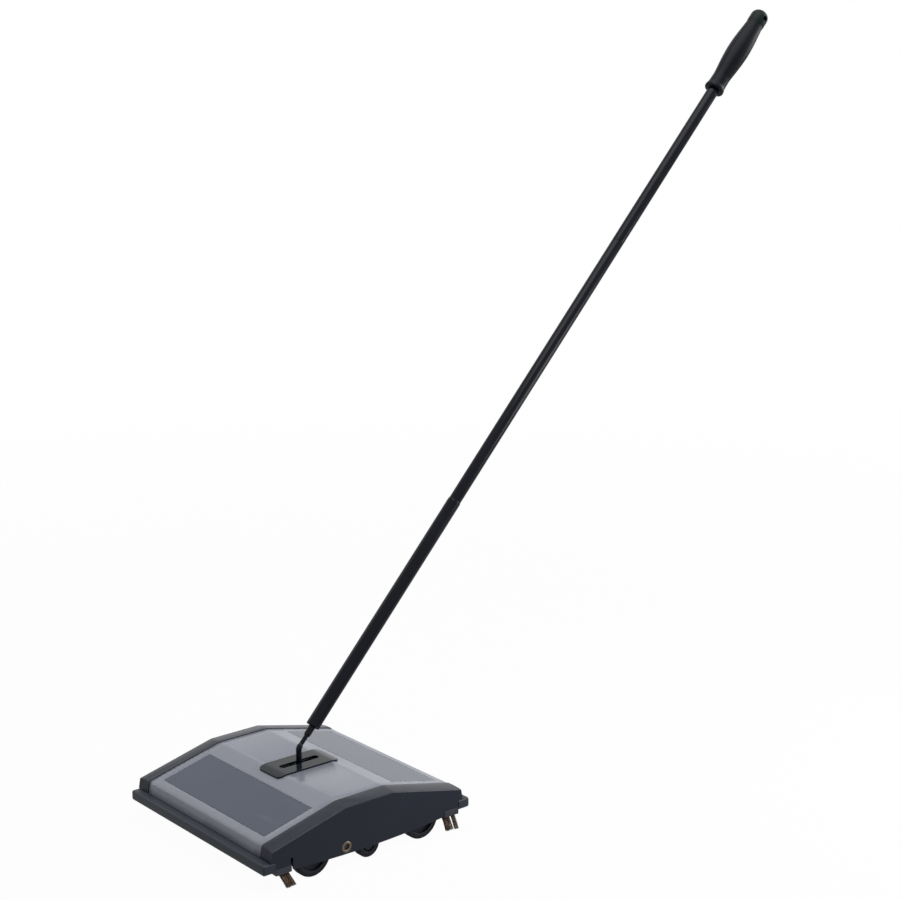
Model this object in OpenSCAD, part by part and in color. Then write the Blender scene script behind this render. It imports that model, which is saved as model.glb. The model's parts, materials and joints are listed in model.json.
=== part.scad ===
// Carpet sweeper: an arched body with two friction-driven brush rolls, a hinged dust pan
// in front of and behind them, and a long sectional handle on a tilting pivot.
// Millimetres. The origin is on the floor under the middle of the body:
// +X along the wheel axles, +Y towards the back, +Z up.

/* [Body] */
// Width over both end caps
body_w = 246.8; // [246:0.1:256]
// Width of an end cap
rail_w = 18.4; // [18.2:0.1:20]
// Length of the body over both bumpers
bumper_l = 265; // [258:0.1:268]
// How far the foot of each skirt stands outside its upper edge
skirt_flare = 2.3; // [1.6:0.1:3]
// Height of the crown of the cover
crown_h = 64.6; // [63.6:0.1:70]
// Height of the cover's upper front and rear edges
edge_h = 42.9; // [41:0.1:45]
// Half length of the crown's flat middle
crown_flat = 31; // [29:0.5:34]
// Radius of the two bends beside the crown's flat middle
bend_r = 20; // [12:1:30]
// Radius between the top and the skirts
edge_r = 4; // [3.6:0.1:6]
// Thickness of the cover
cover_t = 2; // [1.6:0.1:2.4]
// Thickness of an end cap's outer panel
panel_t = 1.6; // [1.4:0.1:1.9]
// Thickness of an end cap's inner wall
inner_t = 2; // [1.6:0.1:2.2]
// Thickness of an end cap's rail
rail_t = 3; // [2.6:0.1:3.4]
// How far the rail stands proud of the cover
rail_lift = 0.8; // [0.4:0.1:1.2]
// How far the rail falls towards its outer edge
rail_fall = 1.8; // [1:0.1:2]
// Lowest point of the side panel
belly_h = 13; // [12:0.1:14]
// Height of the side panel's lower edge beside the corner brushes
belly_end_h = 17; // [16:0.1:18]
// Gap between the outer wheels and the corner brush recesses
corner_gap = 6.6; // [6:0.1:8]
// Height of the corner brush recess
corner_h = 22.5; // [21.5:0.1:23.5]
// Width of the slit beside one corner of each end cap
slit_w = 3.2; // [2:0.1:3.4]
// Height of the top of the slit
slit_h = 29.5; // [28:0.1:31]

/* [Bumpers] */
// How far a bumper reaches past the end caps
bumper_side = 0.6; // [0.2:0.1:5]
// Depth of a bumper outside its seat
bumper_d = 14.5; // [10:0.1:16]
// How far a skirt's foot overhangs the bumper's seat
bumper_tuck = 4.9; // [4.3:0.1:5.5]
// Height of a bumper's underside
bumper_low = 19.2; // [19:0.1:21]
// Height of a bumper
bumper_h = 11; // [9.5:0.1:12]
// Radius of a bumper's outer edges
bumper_r = 2.6; // [1.5:0.1:3.5]

/* [Windows] */
// Gap between a window and the end caps
window_side = 11; // [9:0.5:20]
// Distance from the middle to a window's near edge
window_near_y = 51.8; // [50:0.1:56]
// Distance from a window's far edge to the cover's upper edge
window_margin = 10.3; // [8.6:0.1:14.6]
// Thickness of a window
window_t = 1.2; // [0.8:0.1:1.3]
// Width of the ledge that a window sits on
window_ledge = 2.5; // [1.5:0.1:4]
// Clearance round a window
window_gap = 0.2; // [0.1:0.05:0.4]

/* [Slot plate] */
// Length of the slot plate
plate_l = 80; // [74:0.5:90]
// Width of the slot plate
plate_w = 38.6; // [37:0.1:44]
// Thickness of the slot plate
plate_t = 1.8; // [1.6:0.1:2.4]
// Corner radius of the slot plate
plate_r = 6; // [3:0.5:9]
// Length of the slot for the handle
slot_l = 49.6; // [48.6:0.1:56]
// Width of the slot for the handle
slot_w = 8.2; // [7:0.1:8.6]

/* [Drive] */
// Radius of the front and rear wheels
wheel_r = 21.5; // [21:0.1:22.5]
// Radius of the middle wheels
mid_wheel_r = 13.5; // [13:0.1:15]
// Width of a wheel
wheel_w = 10; // [8:0.1:10.2]
// Depth of a tyre
tyre_t = 4; // [3:0.1:5]
// Distance between the front and rear wheels' axles
wheelbase = 139.8; // [139:0.1:141]
// Radius of a drive drum on a brush shaft
drum_r = 17.9; // [17.4:0.1:18.4]
// Width of a drive drum
drum_w = 8; // [6:0.1:8.4]
// Distance from a drive drum to the end caps
drum_inset = 4; // [3:0.1:5]
// Gap where a middle wheel's roller drives a drum
drive_gap = 0.3; // [0.2:0.05:0.4]
// How much smaller a drive roller is than its wheel
roller_step = 0.3; // [0.2:0.05:0.6]
// Radius of a wheel axle
axle_r = 2.5; // [2:0.1:3]
// Running clearance round shafts and axles
running_gap = 0.05; // [0.02:0.01:0.08]

/* [Brushes] */
// Height of the brush axes
brush_h = 21; // [20.6:0.1:22]
// Radius over the bristles
brush_r = 20.5; // [19.5:0.1:20.6]
// Radius of a brush core
core_r = 9; // [7:0.1:11]
// Radius of a brush shaft
shaft_r = 3; // [2.5:0.1:3.5]
// Gap between a brush and its drive drums
brush_end_gap = 1.6; // [1.2:0.1:3]
// Reach of a corner tuft outside the body
tuft_reach = 1.2; // [0.4:0.1:3]
// How far the feet of the front tufts are swept towards the wheels
tuft_sweep = 5; // [3:0.1:6]

/* [Dust pans] */
// Distance from a pan's hinge to the bumper's seat
hinge_inset = 8.5; // [7.8:0.1:9]
// Height of a pan's hinge
hinge_h = 17; // [16.6:0.1:17.6]
// Radius of a hinge rod
rod_r = 2; // [1.5:0.1:2.2]
// Radius of a hinge knuckle
knuckle_r = 4; // [3.6:0.1:4.4]
// Wall thickness of a pan
pan_t = 1.6; // [1.2:0.1:2]
// Height of a pan's underside
pan_low = 12; // [11:0.1:12.6]
// Height of a pan's walls
pan_top = 34; // [28:0.1:37]
// Gap between a pan's lip and the brush
lip_gap = 1.5; // [1.2:0.1:2]
// Gap between a pan and the end caps
pan_side_gap = 1.4; // [1.1:0.1:2]

/* [Handle] */
// Height of the handle pivot
pivot_h = 44; // [43.2:0.1:45]
// Length of the post from pivot to bend
post_l = 38; // [34:0.1:44]
// Radius of the post
post_r = 3.1; // [2.6:0.05:3.2]
// Radius of the rod above the bend
bar_r = 2.4; // [1.8:0.05:2.6]
// Lean of the handle from upright
handle_lean = 42.7; // [30:0.1:44]
// Distance along the handle from the bend to the lower tube
tube_start = 27; // [24:0.5:34]
// Distance from the bend to the joint of the lower and middle tubes
joint_one = 320; // [280:1:360]
// Distance from the bend to the joint of the middle and upper tubes
joint_two = 685; // [640:1:720]
// Diameter of the lower tube
lower_tube_d = 15.2; // [14.2:0.1:16]
// Diameter of the middle and upper tubes
tube_d = 14; // [13:0.1:14.4]
// Wall thickness of the tubes
tube_t = 0.9; // [0.7:0.05:1.1]
// Length of the spigot at each tube joint
spigot_l = 30; // [20:1:40]
// Length of the ferrule's nose below the lower tube
nose_l = 12; // [8:0.5:14]
// Radius of the ferrule's nose
nose_r = 3.7; // [3.2:0.1:5]

/* [Grip] */
// Distance along the handle from the bend to the grip
grip_start = 916; // [880:1:940]
// Length of the grip without its cap
grip_l = 103; // [98:1:110]
// Diameter of the grip's flange
flange_d = 24; // [22:0.1:27]
// Diameter of the grip's lower neck
neck_d = 21; // [19.5:0.1:23]
// Diameter of the grip at its fullest
belly_d = 26.8; // [24:0.1:29]
// Diameter of the cap on the grip's end
cap_d = 21.8; // [20:0.1:24]
// Length of the cap
cap_l = 20; // [17:0.5:24]
// Radius of the hanging hole
hang_r = 3; // [2:0.1:4]

/* [Hidden] */
$fn = 96;

// Colours
cover_grey = [0.58, 0.58, 0.62];
cap_grey = [0.2, 0.2, 0.24];
rubber_grey = [0.26, 0.28, 0.3];
smoke = [0.38, 0.42, 0.42];
satin_black = [0.1, 0.1, 0.12];
steel = [0.7, 0.71, 0.73];
brass = [0.6, 0.52, 0.36];
bristle_brown = [0.28, 0.22, 0.19];

// Body outline
half_w = body_w / 2;
wall_x = half_w - rail_w;
bumper_w = body_w + 2 * bumper_side;
bumper_seat_y = bumper_l / 2 - bumper_d;
skirt_l = 2 * (bumper_seat_y + bumper_tuck);
edge_l = skirt_l - 2 * skirt_flare;
seat_gap = 0.2;
seat_h = bumper_low + bumper_h + seat_gap;
rail_soft = 1.2;
rail_crest = 0.6;
slope_lean = atan((crown_h - edge_h) / (edge_l / 2 - crown_flat));
slope_tan = tan(slope_lean);
bend_y = crown_flat - bend_r * tan(slope_lean / 2);
bend_z = crown_h - bend_r;
edge_steps = 8;
skirt_lean = atan((skirt_l - edge_l) / 2 / (edge_h - seat_h));
skirt_tan = tan(skirt_lean);
round_y = edge_l / 2 - edge_r * (cos(slope_lean) - sin(skirt_lean)) / cos(slope_lean + skirt_lean);
round_z = edge_h - edge_r * (cos(skirt_lean) - sin(slope_lean)) / cos(slope_lean + skirt_lean);
window_w = 2 * (wall_x - window_side);
window_far_y = edge_l / 2 - window_margin;
over = 1;
film = 0.1;
seat_fit = 0.02;
above = crown_h + 5 * over;

// Drive train: a roller on each middle wheel's spindle turns a drum on each brush shaft
roller_r = mid_wheel_r - roller_step;
drum_reach = drum_r + drive_gap;
brush_y = sqrt(pow(roller_r + drum_reach, 2) - pow(brush_h - mid_wheel_r, 2));
wheel_y = wheelbase / 2;
panel_x = half_w - panel_t;
wheel_gap = 1;
wheel_out_x = panel_x - wheel_gap;
wheel_in_x = wheel_out_x - wheel_w;
wheel_mid_x = wheel_out_x - wheel_w / 2;
bush_l = 2.5;
end_play = 0.3;
drum_out_x = wall_x - drum_inset;
brush_half = drum_out_x - drum_w - brush_end_gap;
eyelet_r = 6;
eyelet_t = 0.8;
barrel_r = shaft_r + 1.2;
shaft_recess = 1.4;
axle_head_t = 0.7;
axle_head_r = axle_r + 1.2;
axle_collar_r = axle_r + 2;
axle_boss_r = axle_r + 1.5;
snap_w = axle_r * 1.7;
hub_wall = 3;
hub_rim = 2;
tyre_chamfer = 1.2;

// Corner brushes
corner_y = wheel_y + wheel_r + corner_gap;
corner_l = bumper_seat_y - corner_y;
belly_rise = belly_end_h - belly_h;
belly_r = (pow(corner_y, 2) + pow(belly_rise, 2)) / (2 * belly_rise);
holder_low = belly_end_h - 1.5;
holder_gap = 0.5;
holder_lip = 0.5;
holder_key_h = 4;
tuft_t = 3.4;
tuft_in = 7;
tuft_tip_h = 0.4;
splay = 1.3;

// Dust pans
pan_half = wall_x - pan_side_gap;
lip_r = brush_r + lip_gap;
lip_from_y = brush_y + lip_r * 0.72;
lip_top = brush_h - 2;
pan_near_y = brush_y + lip_r + pan_t;
pan_floor_y = brush_y + sqrt(pow(lip_r + pan_t / 2, 2) - pow(brush_h - pan_low, 2));
hinge_y = bumper_seat_y - hinge_inset;
pan_far_y = hinge_y - knuckle_r;
knuckle_in = 30;
knuckle_l = 18;
knuckle_inset = 5.6;
knuckle_out = pan_half - knuckle_inset - knuckle_l;
spring_l = 12;
spring_x = (knuckle_in + knuckle_l + knuckle_out - spring_l) / 2;
spring_wire = 1;
spring_r = rod_r + 0.4 + spring_wire;

// Slot plate, bracket and pivot
screw_r = 1.5;
screw_gap = 0.2;
screw_head_r = 2.8;
screw_head_t = 1.6;
screw_edge = 4.3;
screw_x = plate_w / 2 - screw_edge;
screw_y = 9;
ear_gap = 16;
ear_t = 1.6;
ear_y = 7;
flange_t = 1.6;
flange_l = slot_l + 16;
flange_low = crown_h - cover_t - flange_t;
eye_r = 5.5;
eye_w = 10;
pin_r = 2.5;
pin_head_t = 1.1;
pin_head_r = pin_r + 1.5;
cover_screw_inset = 28.6;
cover_screw_y = edge_l / 2 - cover_screw_inset;
cover_screw_drop = 9;
cover_screw_z = slope_z(cover_screw_y, 0) - cover_screw_drop;
boss = 8;
bumper_screw_inset = 21;
bumper_screw_xs = [for (i = [0:3]) (wall_x - bumper_screw_inset) * (2 * i / 3 - 1)];
bumper_screw_z = bumper_low + bumper_h / 2;
bumper_screw_l = 9.6;

// Handle
lower_tube_bore = lower_tube_d / 2 - tube_t;
tube_bore = tube_d / 2 - tube_t;
plug_l = 26;
plug_r = 5;
eye_open = slot_w + 4;
grip_end = grip_start + grip_l;
tube_end = grip_end - 12;
grip_neck_at = 20;
upper_neck_d = cap_d - 0.8;
cap_round = 8.5;
hang_at = cap_l / 2 + 0.5;

// ---- helpers ----

// Extrudes a (y, z) shape from x0 to x1
module along_x(x0, x1) {
    translate([x0, 0, 0])
        rotate([90, 0, 90])
            linear_extrude(x1 - x0)
                children();
}

// A round bar along X, centred on (y, z)
module bar_x(x0, x1, y, z, r) {
    translate([x0, y, z])
        rotate([0, 90, 0])
            cylinder(h = x1 - x0, r = r);
}

// The two mirrored copies of a child, one on each end of the body
module both_ends() {
    children();
    mirror([1, 0, 0]) children();
}

// The skirt's y at height z, moved inwards by inset
function skirt_y(z, inset) = edge_l / 2 - inset / cos(skirt_lean) + (edge_h - z) * skirt_tan;

// The slope's height at y, moved inwards by inset
function slope_z(y, inset) = crown_h - (y - crown_flat) * slope_tan - inset / cos(slope_lean);

// Point on the bend beside the crown's flat middle; share runs from 0 at the flat to 1 at the slope
function bend_point(share, inset) = [
    bend_y + (bend_r - inset) * sin(slope_lean * share),
    bend_z + (bend_r - inset) * cos(slope_lean * share)
];

// A line on the +Y side, going outwards and down, joined to its mirror image
function both_halves(line) = concat(line, [for (i = [len(line) - 1:-1:0]) [-line[i][0], line[i][1]]]);

// The crown's line from the end of its flat middle to the end of its bend
function crown_line(inset) = [bend_point(0, inset), bend_point(0.5, inset), bend_point(1, inset)];

// The rounding between the slope and the skirt, from the slope downwards
function edge_line(inset) = [
    for (share = [0:1 / edge_steps:1])
        let (turn = slope_lean + share * (90 - skirt_lean - slope_lean))
        [round_y + (edge_r - inset) * sin(turn), round_z + (edge_r - inset) * cos(turn)]
];

// The body's (y, z) outline, with its top and skirts moved inwards by inset; the foot stops at the bumper's seat
module outline(inset, foot) {
    polygon(both_halves(concat(crown_line(inset), edge_line(inset), [
        [skirt_y(seat_h + foot, inset), seat_h + foot],
        [bumper_seat_y - foot, seat_h + foot],
        [bumper_seat_y - foot, 0]
    ])));
}

// Everything under the crown's flat middle and its slopes, moved inwards by inset
module under_crown(inset) {
    polygon(both_halves(concat(crown_line(inset), [
        [skirt_l / 2, slope_z(skirt_l / 2, inset)],
        [skirt_l / 2, 0]
    ])));
}

// A sheet that follows the crown, between two insets
module crown_sheet(x, low_inset, high_inset) {
    along_x(-x, x)
        difference() {
            under_crown(high_inset);
            under_crown(low_inset);
        }
}

// A plan rectangle with round corners
module round_rect(w, l, r) {
    square([w - 2 * r, l], center = true);
    square([w, l - 2 * r], center = true);
    for (x = [-1, 1], y = [-1, 1])
        translate([x * (w / 2 - r), y * (l / 2 - r)]) circle(r = r, $fn = 48);
}

// ---- body shells ----

// A window's box in plan, on the +Y side, shrunk all round by gap
module window_block(gap) {
    translate([-window_w / 2 + gap, window_near_y + gap, 0])
        cube([window_w - 2 * gap, window_far_y - window_near_y - 2 * gap, above]);
}

// The opening in the cover under a window, with its ledge
module window_opening() {
    window_block(window_ledge);
    difference() {
        window_block(0);
        along_x(-window_w, window_w)
            under_crown(window_t);
    }
}

module top_cover() {
    color(cover_grey)
        difference() {
            union() {
                along_x(-wall_x, wall_x)
                    difference() {
                        outline(0, 0);
                        outline(cover_t, cover_t);
                        translate([-body_w, -over]) square([2 * body_w, bumper_low + over]);
                    }
                // Bosses that the end caps are screwed to
                for (y = [-cover_screw_y, cover_screw_y]) both_ends()
                    intersection() {
                        translate([wall_x - boss, y - boss / 2, cover_screw_z - boss / 2])
                            cube([boss, boss, boss * 2]);
                        along_x(0, wall_x) outline(cover_t / 2, 0);
                    }
            }
            window_opening();
            mirror([0, 1, 0]) window_opening();
            translate([0, 0, pivot_h])
                linear_extrude(crown_h)
                    round_rect(eye_open, slot_l + 6, slot_w / 2);
            for (x = [-screw_x, screw_x], y = [-screw_y, screw_y])
                translate([x, y, pivot_h]) cylinder(h = crown_h, r = screw_r + screw_gap, $fn = 24);
            for (y = [-cover_screw_y, cover_screw_y])
                bar_x(-wall_x - over, wall_x + over, y, cover_screw_z, screw_r);
            for (x = bumper_screw_xs, side = [-1, 1])
                translate([x, side * (bumper_seat_y + over), bumper_screw_z])
                    rotate([90 * side, 0, 0])
                        cylinder(h = cover_t + 2 * over, r = screw_r + screw_gap, $fn = 24);
        }
}

module window_sheet() {
    intersection() {
        crown_sheet(window_w / 2 - window_gap, window_t, 0);
        window_block(window_gap);
    }
}

module front_window() {
    color(smoke, 0.6) mirror([0, 1, 0]) window_sheet();
}

module rear_window() {
    color(smoke, 0.6) window_sheet();
}

module slot_plate() {
    color(cap_grey)
        difference() {
            intersection() {
                crown_sheet(plate_w / 2, 0, -plate_t);
                linear_extrude(crown_h * 2) round_rect(plate_w, plate_l, plate_r);
            }
            linear_extrude(crown_h * 2) round_rect(slot_w, slot_l, slot_w / 2 - seat_fit);
            for (x = [-screw_x, screw_x], y = [-screw_y, screw_y])
                translate([x, y, 0]) cylinder(h = crown_h + plate_t / 2, r = screw_r, $fn = 24);
        }
}

// Section of the rail's sloping top, as (x, height above the bends' centre)
function rail_section(floor) =
    let (fall_from = bend_r + rail_lift + rail_crest, fall_to = bend_r + rail_lift - rail_fall)
    concat(
        [[half_w, floor], [wall_x - over, floor], [wall_x - over, fall_from], [wall_x, fall_from]],
        [for (a = [0:30:90]) [half_w - rail_soft * (1 - sin(a)), fall_to - rail_soft * (1 - cos(a))]]
    );

// Everything under one straight run of the rail's top, leaning down towards +Y
module rail_run(lean) {
    translate([0, bend_y, bend_z])
        rotate([-lean, 0, 0])
            translate([0, edge_l, 0])
                rotate([90, 0, 0]) linear_extrude(edge_l * 2) polygon(rail_section(-crown_h * 2));
}

// Everything under the rail's top: its flat middle, its bends and its slopes
module rail_solid() {
    intersection() {
        rail_run(0);
        rail_run(slope_lean / 2);
        rail_run(slope_lean);
        mirror([0, 1, 0]) rail_run(slope_lean / 2);
        mirror([0, 1, 0]) rail_run(slope_lean);
    }
}

// The lower edge of an end cap: gently bowed, with a recess at each corner
module cap_underside() {
    difference() {
        translate([-skirt_l, -skirt_l]) square([2 * skirt_l, skirt_l + corner_h]);
        intersection() {
            translate([0, belly_h + belly_r]) circle(r = belly_r, $fn = 720);
            translate([-corner_y, 0]) square([2 * corner_y, 2 * corner_h]);
        }
    }
}

module end_cap() {
    difference() {
        union() {
            difference() {
                intersection() {
                    union() {
                        along_x(wall_x + inner_t, half_w)
                            difference() {
                                outline(-rail_lift, 0);
                                cap_underside();
                            }
                        // The inner wall keeps one height, so that it carries the pans' rods
                        along_x(wall_x, wall_x + inner_t)
                            difference() {
                                outline(-rail_lift, 0);
                                translate([-skirt_l, -skirt_l]) square([2 * skirt_l, skirt_l + belly_h]);
                            }
                    }
                    rail_solid();
                }
                along_x(wall_x + inner_t, panel_x)
                    difference() {
                        outline(rail_t, panel_t);
                        translate([-skirt_l, -over]) square([2 * skirt_l, over]);
                    }
            }
            // Bosses for the outer ends of the front and rear axles
            for (y = [-wheel_y, wheel_y])
                bar_x(wheel_out_x + end_play, panel_x + over / 2, y, wheel_r, axle_boss_r);
            // Lug that the middle wheel's spindle snaps up into
            bar_x(wall_x, wall_x + inner_t, 0, mid_wheel_r, axle_boss_r);
        }
        for (y = [-wheel_y, wheel_y]) {
            bar_x(wall_x - over, wall_x + inner_t + over, y, wheel_r, axle_r);
            bar_x(wheel_out_x, panel_x, y, wheel_r, axle_r);
        }
        bar_x(wall_x - over, wall_x + inner_t + over, 0, mid_wheel_r, axle_r + running_gap);
        translate([wall_x - over, -snap_w / 2, 0])
            cube([inner_t + 2 * over, snap_w, mid_wheel_r]);
        for (y = [-brush_y, brush_y])
            bar_x(wall_x - over, wall_x + inner_t + over, y, brush_h, shaft_r + 1);
        for (y = [-hinge_y, hinge_y])
            bar_x(wall_x - over, wall_x + inner_t + over, y, hinge_h, rod_r);
        for (y = [-cover_screw_y, cover_screw_y])
            bar_x(wall_x - over, wall_x + inner_t + over, y, cover_screw_z, screw_r + screw_gap);
        bar_x(panel_x - over, half_w + over, -brush_y, brush_h, barrel_r);
        translate([panel_x - over, -corner_y - slit_w / 2, 0])
            cube([panel_t + 2 * over, slit_w, slit_h]);
    }
}

module left_end_cap() {
    color(cap_grey) rotate([0, 0, 180]) end_cap();
}

module right_end_cap() {
    color(cap_grey) end_cap();
}

// ---- bumpers ----

module bumper_bar() {
    depth = bumper_l / 2 - bumper_seat_y;
    difference() {
        along_x(-bumper_w / 2, bumper_w / 2)
            translate([bumper_seat_y, bumper_low]) {
                square([depth - bumper_r, bumper_h]);
                translate([0, bumper_r]) square([depth, bumper_h - 2 * bumper_r]);
                for (z = [bumper_r, bumper_h - bumper_r])
                    translate([depth - bumper_r, z]) circle(r = bumper_r, $fn = 48);
            }
        for (x = bumper_screw_xs)
            translate([x, bumper_seat_y - over, bumper_screw_z])
                rotate([-90, 0, 0])
                    cylinder(h = bumper_screw_l - cover_t + screw_gap + over, r = screw_r, $fn = 24);
    }
}

module front_bumper() {
    color(rubber_grey) mirror([0, 1, 0]) bumper_bar();
}

module rear_bumper() {
    color(rubber_grey) bumper_bar();
}

// ---- fasteners, axles and bearings ----

// A pan-head screw pointing along +Z, with its head below z = 0
module screw(length) {
    translate([0, 0, -screw_head_t]) cylinder(h = screw_head_t, r = screw_head_r, $fn = 32);
    cylinder(h = length, r = screw_r - seat_fit, $fn = 24);
}

module bracket_screws() {
    color(steel)
        for (x = [-screw_x, screw_x], y = [-screw_y, screw_y])
            translate([x, y, flange_low - film])
                screw(crown_h + plate_t / 2 - flange_low - screw_gap);
}

module cover_screws() {
    color(steel)
        for (y = [-cover_screw_y, cover_screw_y]) both_ends()
            translate([wall_x + inner_t, y, cover_screw_z])
                rotate([0, -90, 0]) screw(inner_t + boss - 1);
}

module bumper_screws() {
    color(steel)
        for (x = bumper_screw_xs, side = [-1, 1])
            translate([x, side * (bumper_seat_y - cover_t), bumper_screw_z])
                rotate([-90 * side, 0, 0]) screw(bumper_screw_l);
}

module wheel_axles() {
    color(steel)
        for (y = [-wheel_y, wheel_y]) both_ends() {
            bar_x(wall_x, panel_x - end_play, y, wheel_r, axle_r - seat_fit);
            bar_x(wall_x + inner_t, wheel_in_x - end_play, y, wheel_r, axle_collar_r);
            bar_x(wall_x - axle_head_t, wall_x, y, wheel_r, axle_head_r);
        }
}

module eyelet() {
    difference() {
        union() {
            bar_x(half_w, half_w + eyelet_t, -brush_y, brush_h, eyelet_r);
            bar_x(panel_x - bush_l, half_w + eyelet_t / 2, -brush_y, brush_h, barrel_r);
        }
        bar_x(0, body_w, -brush_y, brush_h, shaft_r + running_gap);
    }
}

module front_brush_eyelet() {
    color(brass) eyelet();
}

module rear_brush_eyelet() {
    color(brass) rotate([0, 0, 180]) eyelet();
}

module bush() {
    difference() {
        bar_x(panel_x - bush_l, panel_x, brush_y, brush_h, shaft_r + 2.5);
        bar_x(0, body_w, brush_y, brush_h, shaft_r + running_gap);
    }
}

module brush_bushes() {
    color("ivory") {
        bush();
        rotate([0, 0, 180]) bush();
    }
}

// ---- handle bracket ----

module handle_bracket() {
    ear_out = ear_gap / 2 + ear_t;
    color(steel)
        difference() {
            union() {
                both_ends() {
                    translate([ear_gap / 2, -ear_y, pivot_h])
                        cube([ear_t, 2 * ear_y, crown_h - cover_t - flange_t - pivot_h + ear_t / 2]);
                    bar_x(ear_gap / 2, ear_out, 0, pivot_h, ear_y);
                }
                // A flange under the crown, open where the rod swings
                difference() {
                    intersection() {
                        crown_sheet(plate_w / 2, cover_t + flange_t, cover_t);
                        linear_extrude(crown_h) square([plate_w, flange_l], center = true);
                    }
                    linear_extrude(crown_h) round_rect(ear_gap, slot_l + 2, slot_w / 2);
                }
            }
            bar_x(-ear_out - over, ear_out + over, 0, pivot_h, pin_r + running_gap);
            for (x = [-screw_x, screw_x], y = [-screw_y, screw_y])
                translate([x, y, pivot_h]) cylinder(h = crown_h, r = screw_r + screw_gap / 2, $fn = 24);
        }
}

// ---- brush rolls ----

module brush_shaft() {
    bar_x(-panel_x + end_play, half_w - shaft_recess, -brush_y, brush_h, shaft_r);
}

module brush_core() {
    difference() {
        bar_x(-brush_half, brush_half, -brush_y, brush_h, core_r);
        bar_x(-body_w, body_w, -brush_y, brush_h, shaft_r);
    }
}

module brush_bristles() {
    difference() {
        bar_x(-brush_half + 1, brush_half - 1, -brush_y, brush_h, brush_r);
        bar_x(-body_w, body_w, -brush_y, brush_h, core_r);
    }
}

module brush_drums() {
    both_ends()
        difference() {
            bar_x(drum_out_x - drum_w, drum_out_x, -brush_y, brush_h, drum_r);
            bar_x(-body_w, body_w, -brush_y, brush_h, shaft_r);
        }
}

module front_brush_shaft() {
    color(steel) brush_shaft();
}

module front_brush_core() {
    color("saddlebrown") brush_core();
}

module front_brush_bristles() {
    color(bristle_brown) brush_bristles();
}

module front_brush_drums() {
    color(satin_black) brush_drums();
}

module rear_brush_shaft() {
    color(steel) rotate([0, 0, 180]) brush_shaft();
}

module rear_brush_core() {
    color("saddlebrown") rotate([0, 0, 180]) brush_core();
}

module rear_brush_bristles() {
    color(bristle_brown) rotate([0, 0, 180]) brush_bristles();
}

module rear_brush_drums() {
    color(satin_black) rotate([0, 0, 180]) brush_drums();
}

// ---- wheels ----

// Places a wheel part, built round the Z axis, on one end of the body
module at_wheel(end, y, r) {
    translate([end * wheel_mid_x, y, r])
        rotate([0, 90 * end, 0])
            children();
}

module tyre(r) {
    half = wheel_w / 2;
    color(satin_black)
        rotate_extrude()
            polygon([
                [r - tyre_t, -half],
                [r - tyre_chamfer, -half],
                [r, tyre_chamfer - half],
                [r, half - tyre_chamfer],
                [r - tyre_chamfer, half],
                [r - tyre_t, half]
            ]);
}

module hub(r) {
    rim = r - tyre_t;
    half = wheel_w / 2;
    web = hub_wall / 2;
    color(rubber_grey)
        rotate_extrude()
            polygon([
                [axle_r + running_gap, -half],
                [axle_r + hub_wall, -half],
                [axle_r + hub_wall, -web],
                [rim - hub_rim, -web],
                [rim - hub_rim, -half],
                [rim, -half],
                [rim, half],
                [rim - hub_rim, half],
                [rim - hub_rim, web],
                [axle_r + hub_wall, web],
                [axle_r + hub_wall, half],
                [axle_r + running_gap, half]
            ]);
}

// A middle wheel's hub, in one piece with its spindle and its drive roller inside the body
module drive_hub() {
    rim = mid_wheel_r - tyre_t;
    half = wheel_w / 2;
    web = hub_wall / 2;
    roller_in = drum_out_x - drum_w - wheel_mid_x;
    roller_out = drum_out_x - wheel_mid_x;
    wall_in = wall_x - end_play - wheel_mid_x;
    wall_out = wall_x + inner_t + end_play - wheel_mid_x;
    color(rubber_grey)
        rotate_extrude()
            polygon([
                [0, roller_in],
                [roller_r, roller_in],
                [roller_r, roller_out],
                [axle_collar_r, roller_out],
                [axle_collar_r, wall_in],
                [axle_r, wall_in],
                [axle_r, wall_out],
                [axle_collar_r, wall_out],
                [axle_collar_r, -web],
                [rim - hub_rim, -web],
                [rim - hub_rim, -half],
                [rim, -half],
                [rim, half],
                [rim - hub_rim, half],
                [rim - hub_rim, web],
                [axle_r + hub_wall, web],
                [axle_r + hub_wall, half],
                [0, half]
            ]);
}

// ---- corner brushes ----

// Modelled for the corner at +X, +Y
module tuft_holder() {
    depth = corner_l - 2 * holder_gap;
    in_x = wall_x + inner_t;
    translate([in_x, corner_y + holder_gap, holder_low])
        cube([half_w + holder_lip - in_x, depth, corner_h - holder_low]);
    // The key that fills the hollow above the recess
    translate([in_x + holder_gap, corner_y + panel_t, corner_h])
        cube([panel_x - in_x - 2 * holder_gap, depth - 2 * panel_t, holder_key_h]);
}

// A flat fan of bristles leaning outwards; its place and width along Y are shares of the recess,
// and its foot is swept towards the wheels
module fan(at, wide, outwards, sweep) {
    root_w = wide * corner_l;
    root_x = half_w - tuft_in + outwards;
    root_y = corner_y + at * corner_l;
    foot_x = half_w + tuft_reach + outwards;
    hull() {
        translate([root_x - tuft_t / 2, root_y - root_w / 2, holder_low - film])
            cube([tuft_t, root_w, film]);
        translate([foot_x - tuft_t * splay / 2, root_y - sweep - root_w * splay / 2, tuft_tip_h])
            cube([tuft_t * splay, root_w * splay, film]);
    }
}

module tuft(sweep) {
    fan(0.3, 0.35, 0, sweep);
    fan(0.74, 0.16, 2, sweep);
}

module corner(end, side) {
    mirror([end < 0 ? 1 : 0, 0, 0])
        mirror([0, side < 0 ? 1 : 0, 0])
            children();
}

module front_left_tuft_holder() {
    color(steel) corner(-1, -1) tuft_holder();
}

module front_right_tuft_holder() {
    color(steel) corner(1, -1) tuft_holder();
}

module rear_left_tuft_holder() {
    color(steel) corner(-1, 1) tuft_holder();
}

module rear_right_tuft_holder() {
    color(steel) corner(1, 1) tuft_holder();
}

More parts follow.
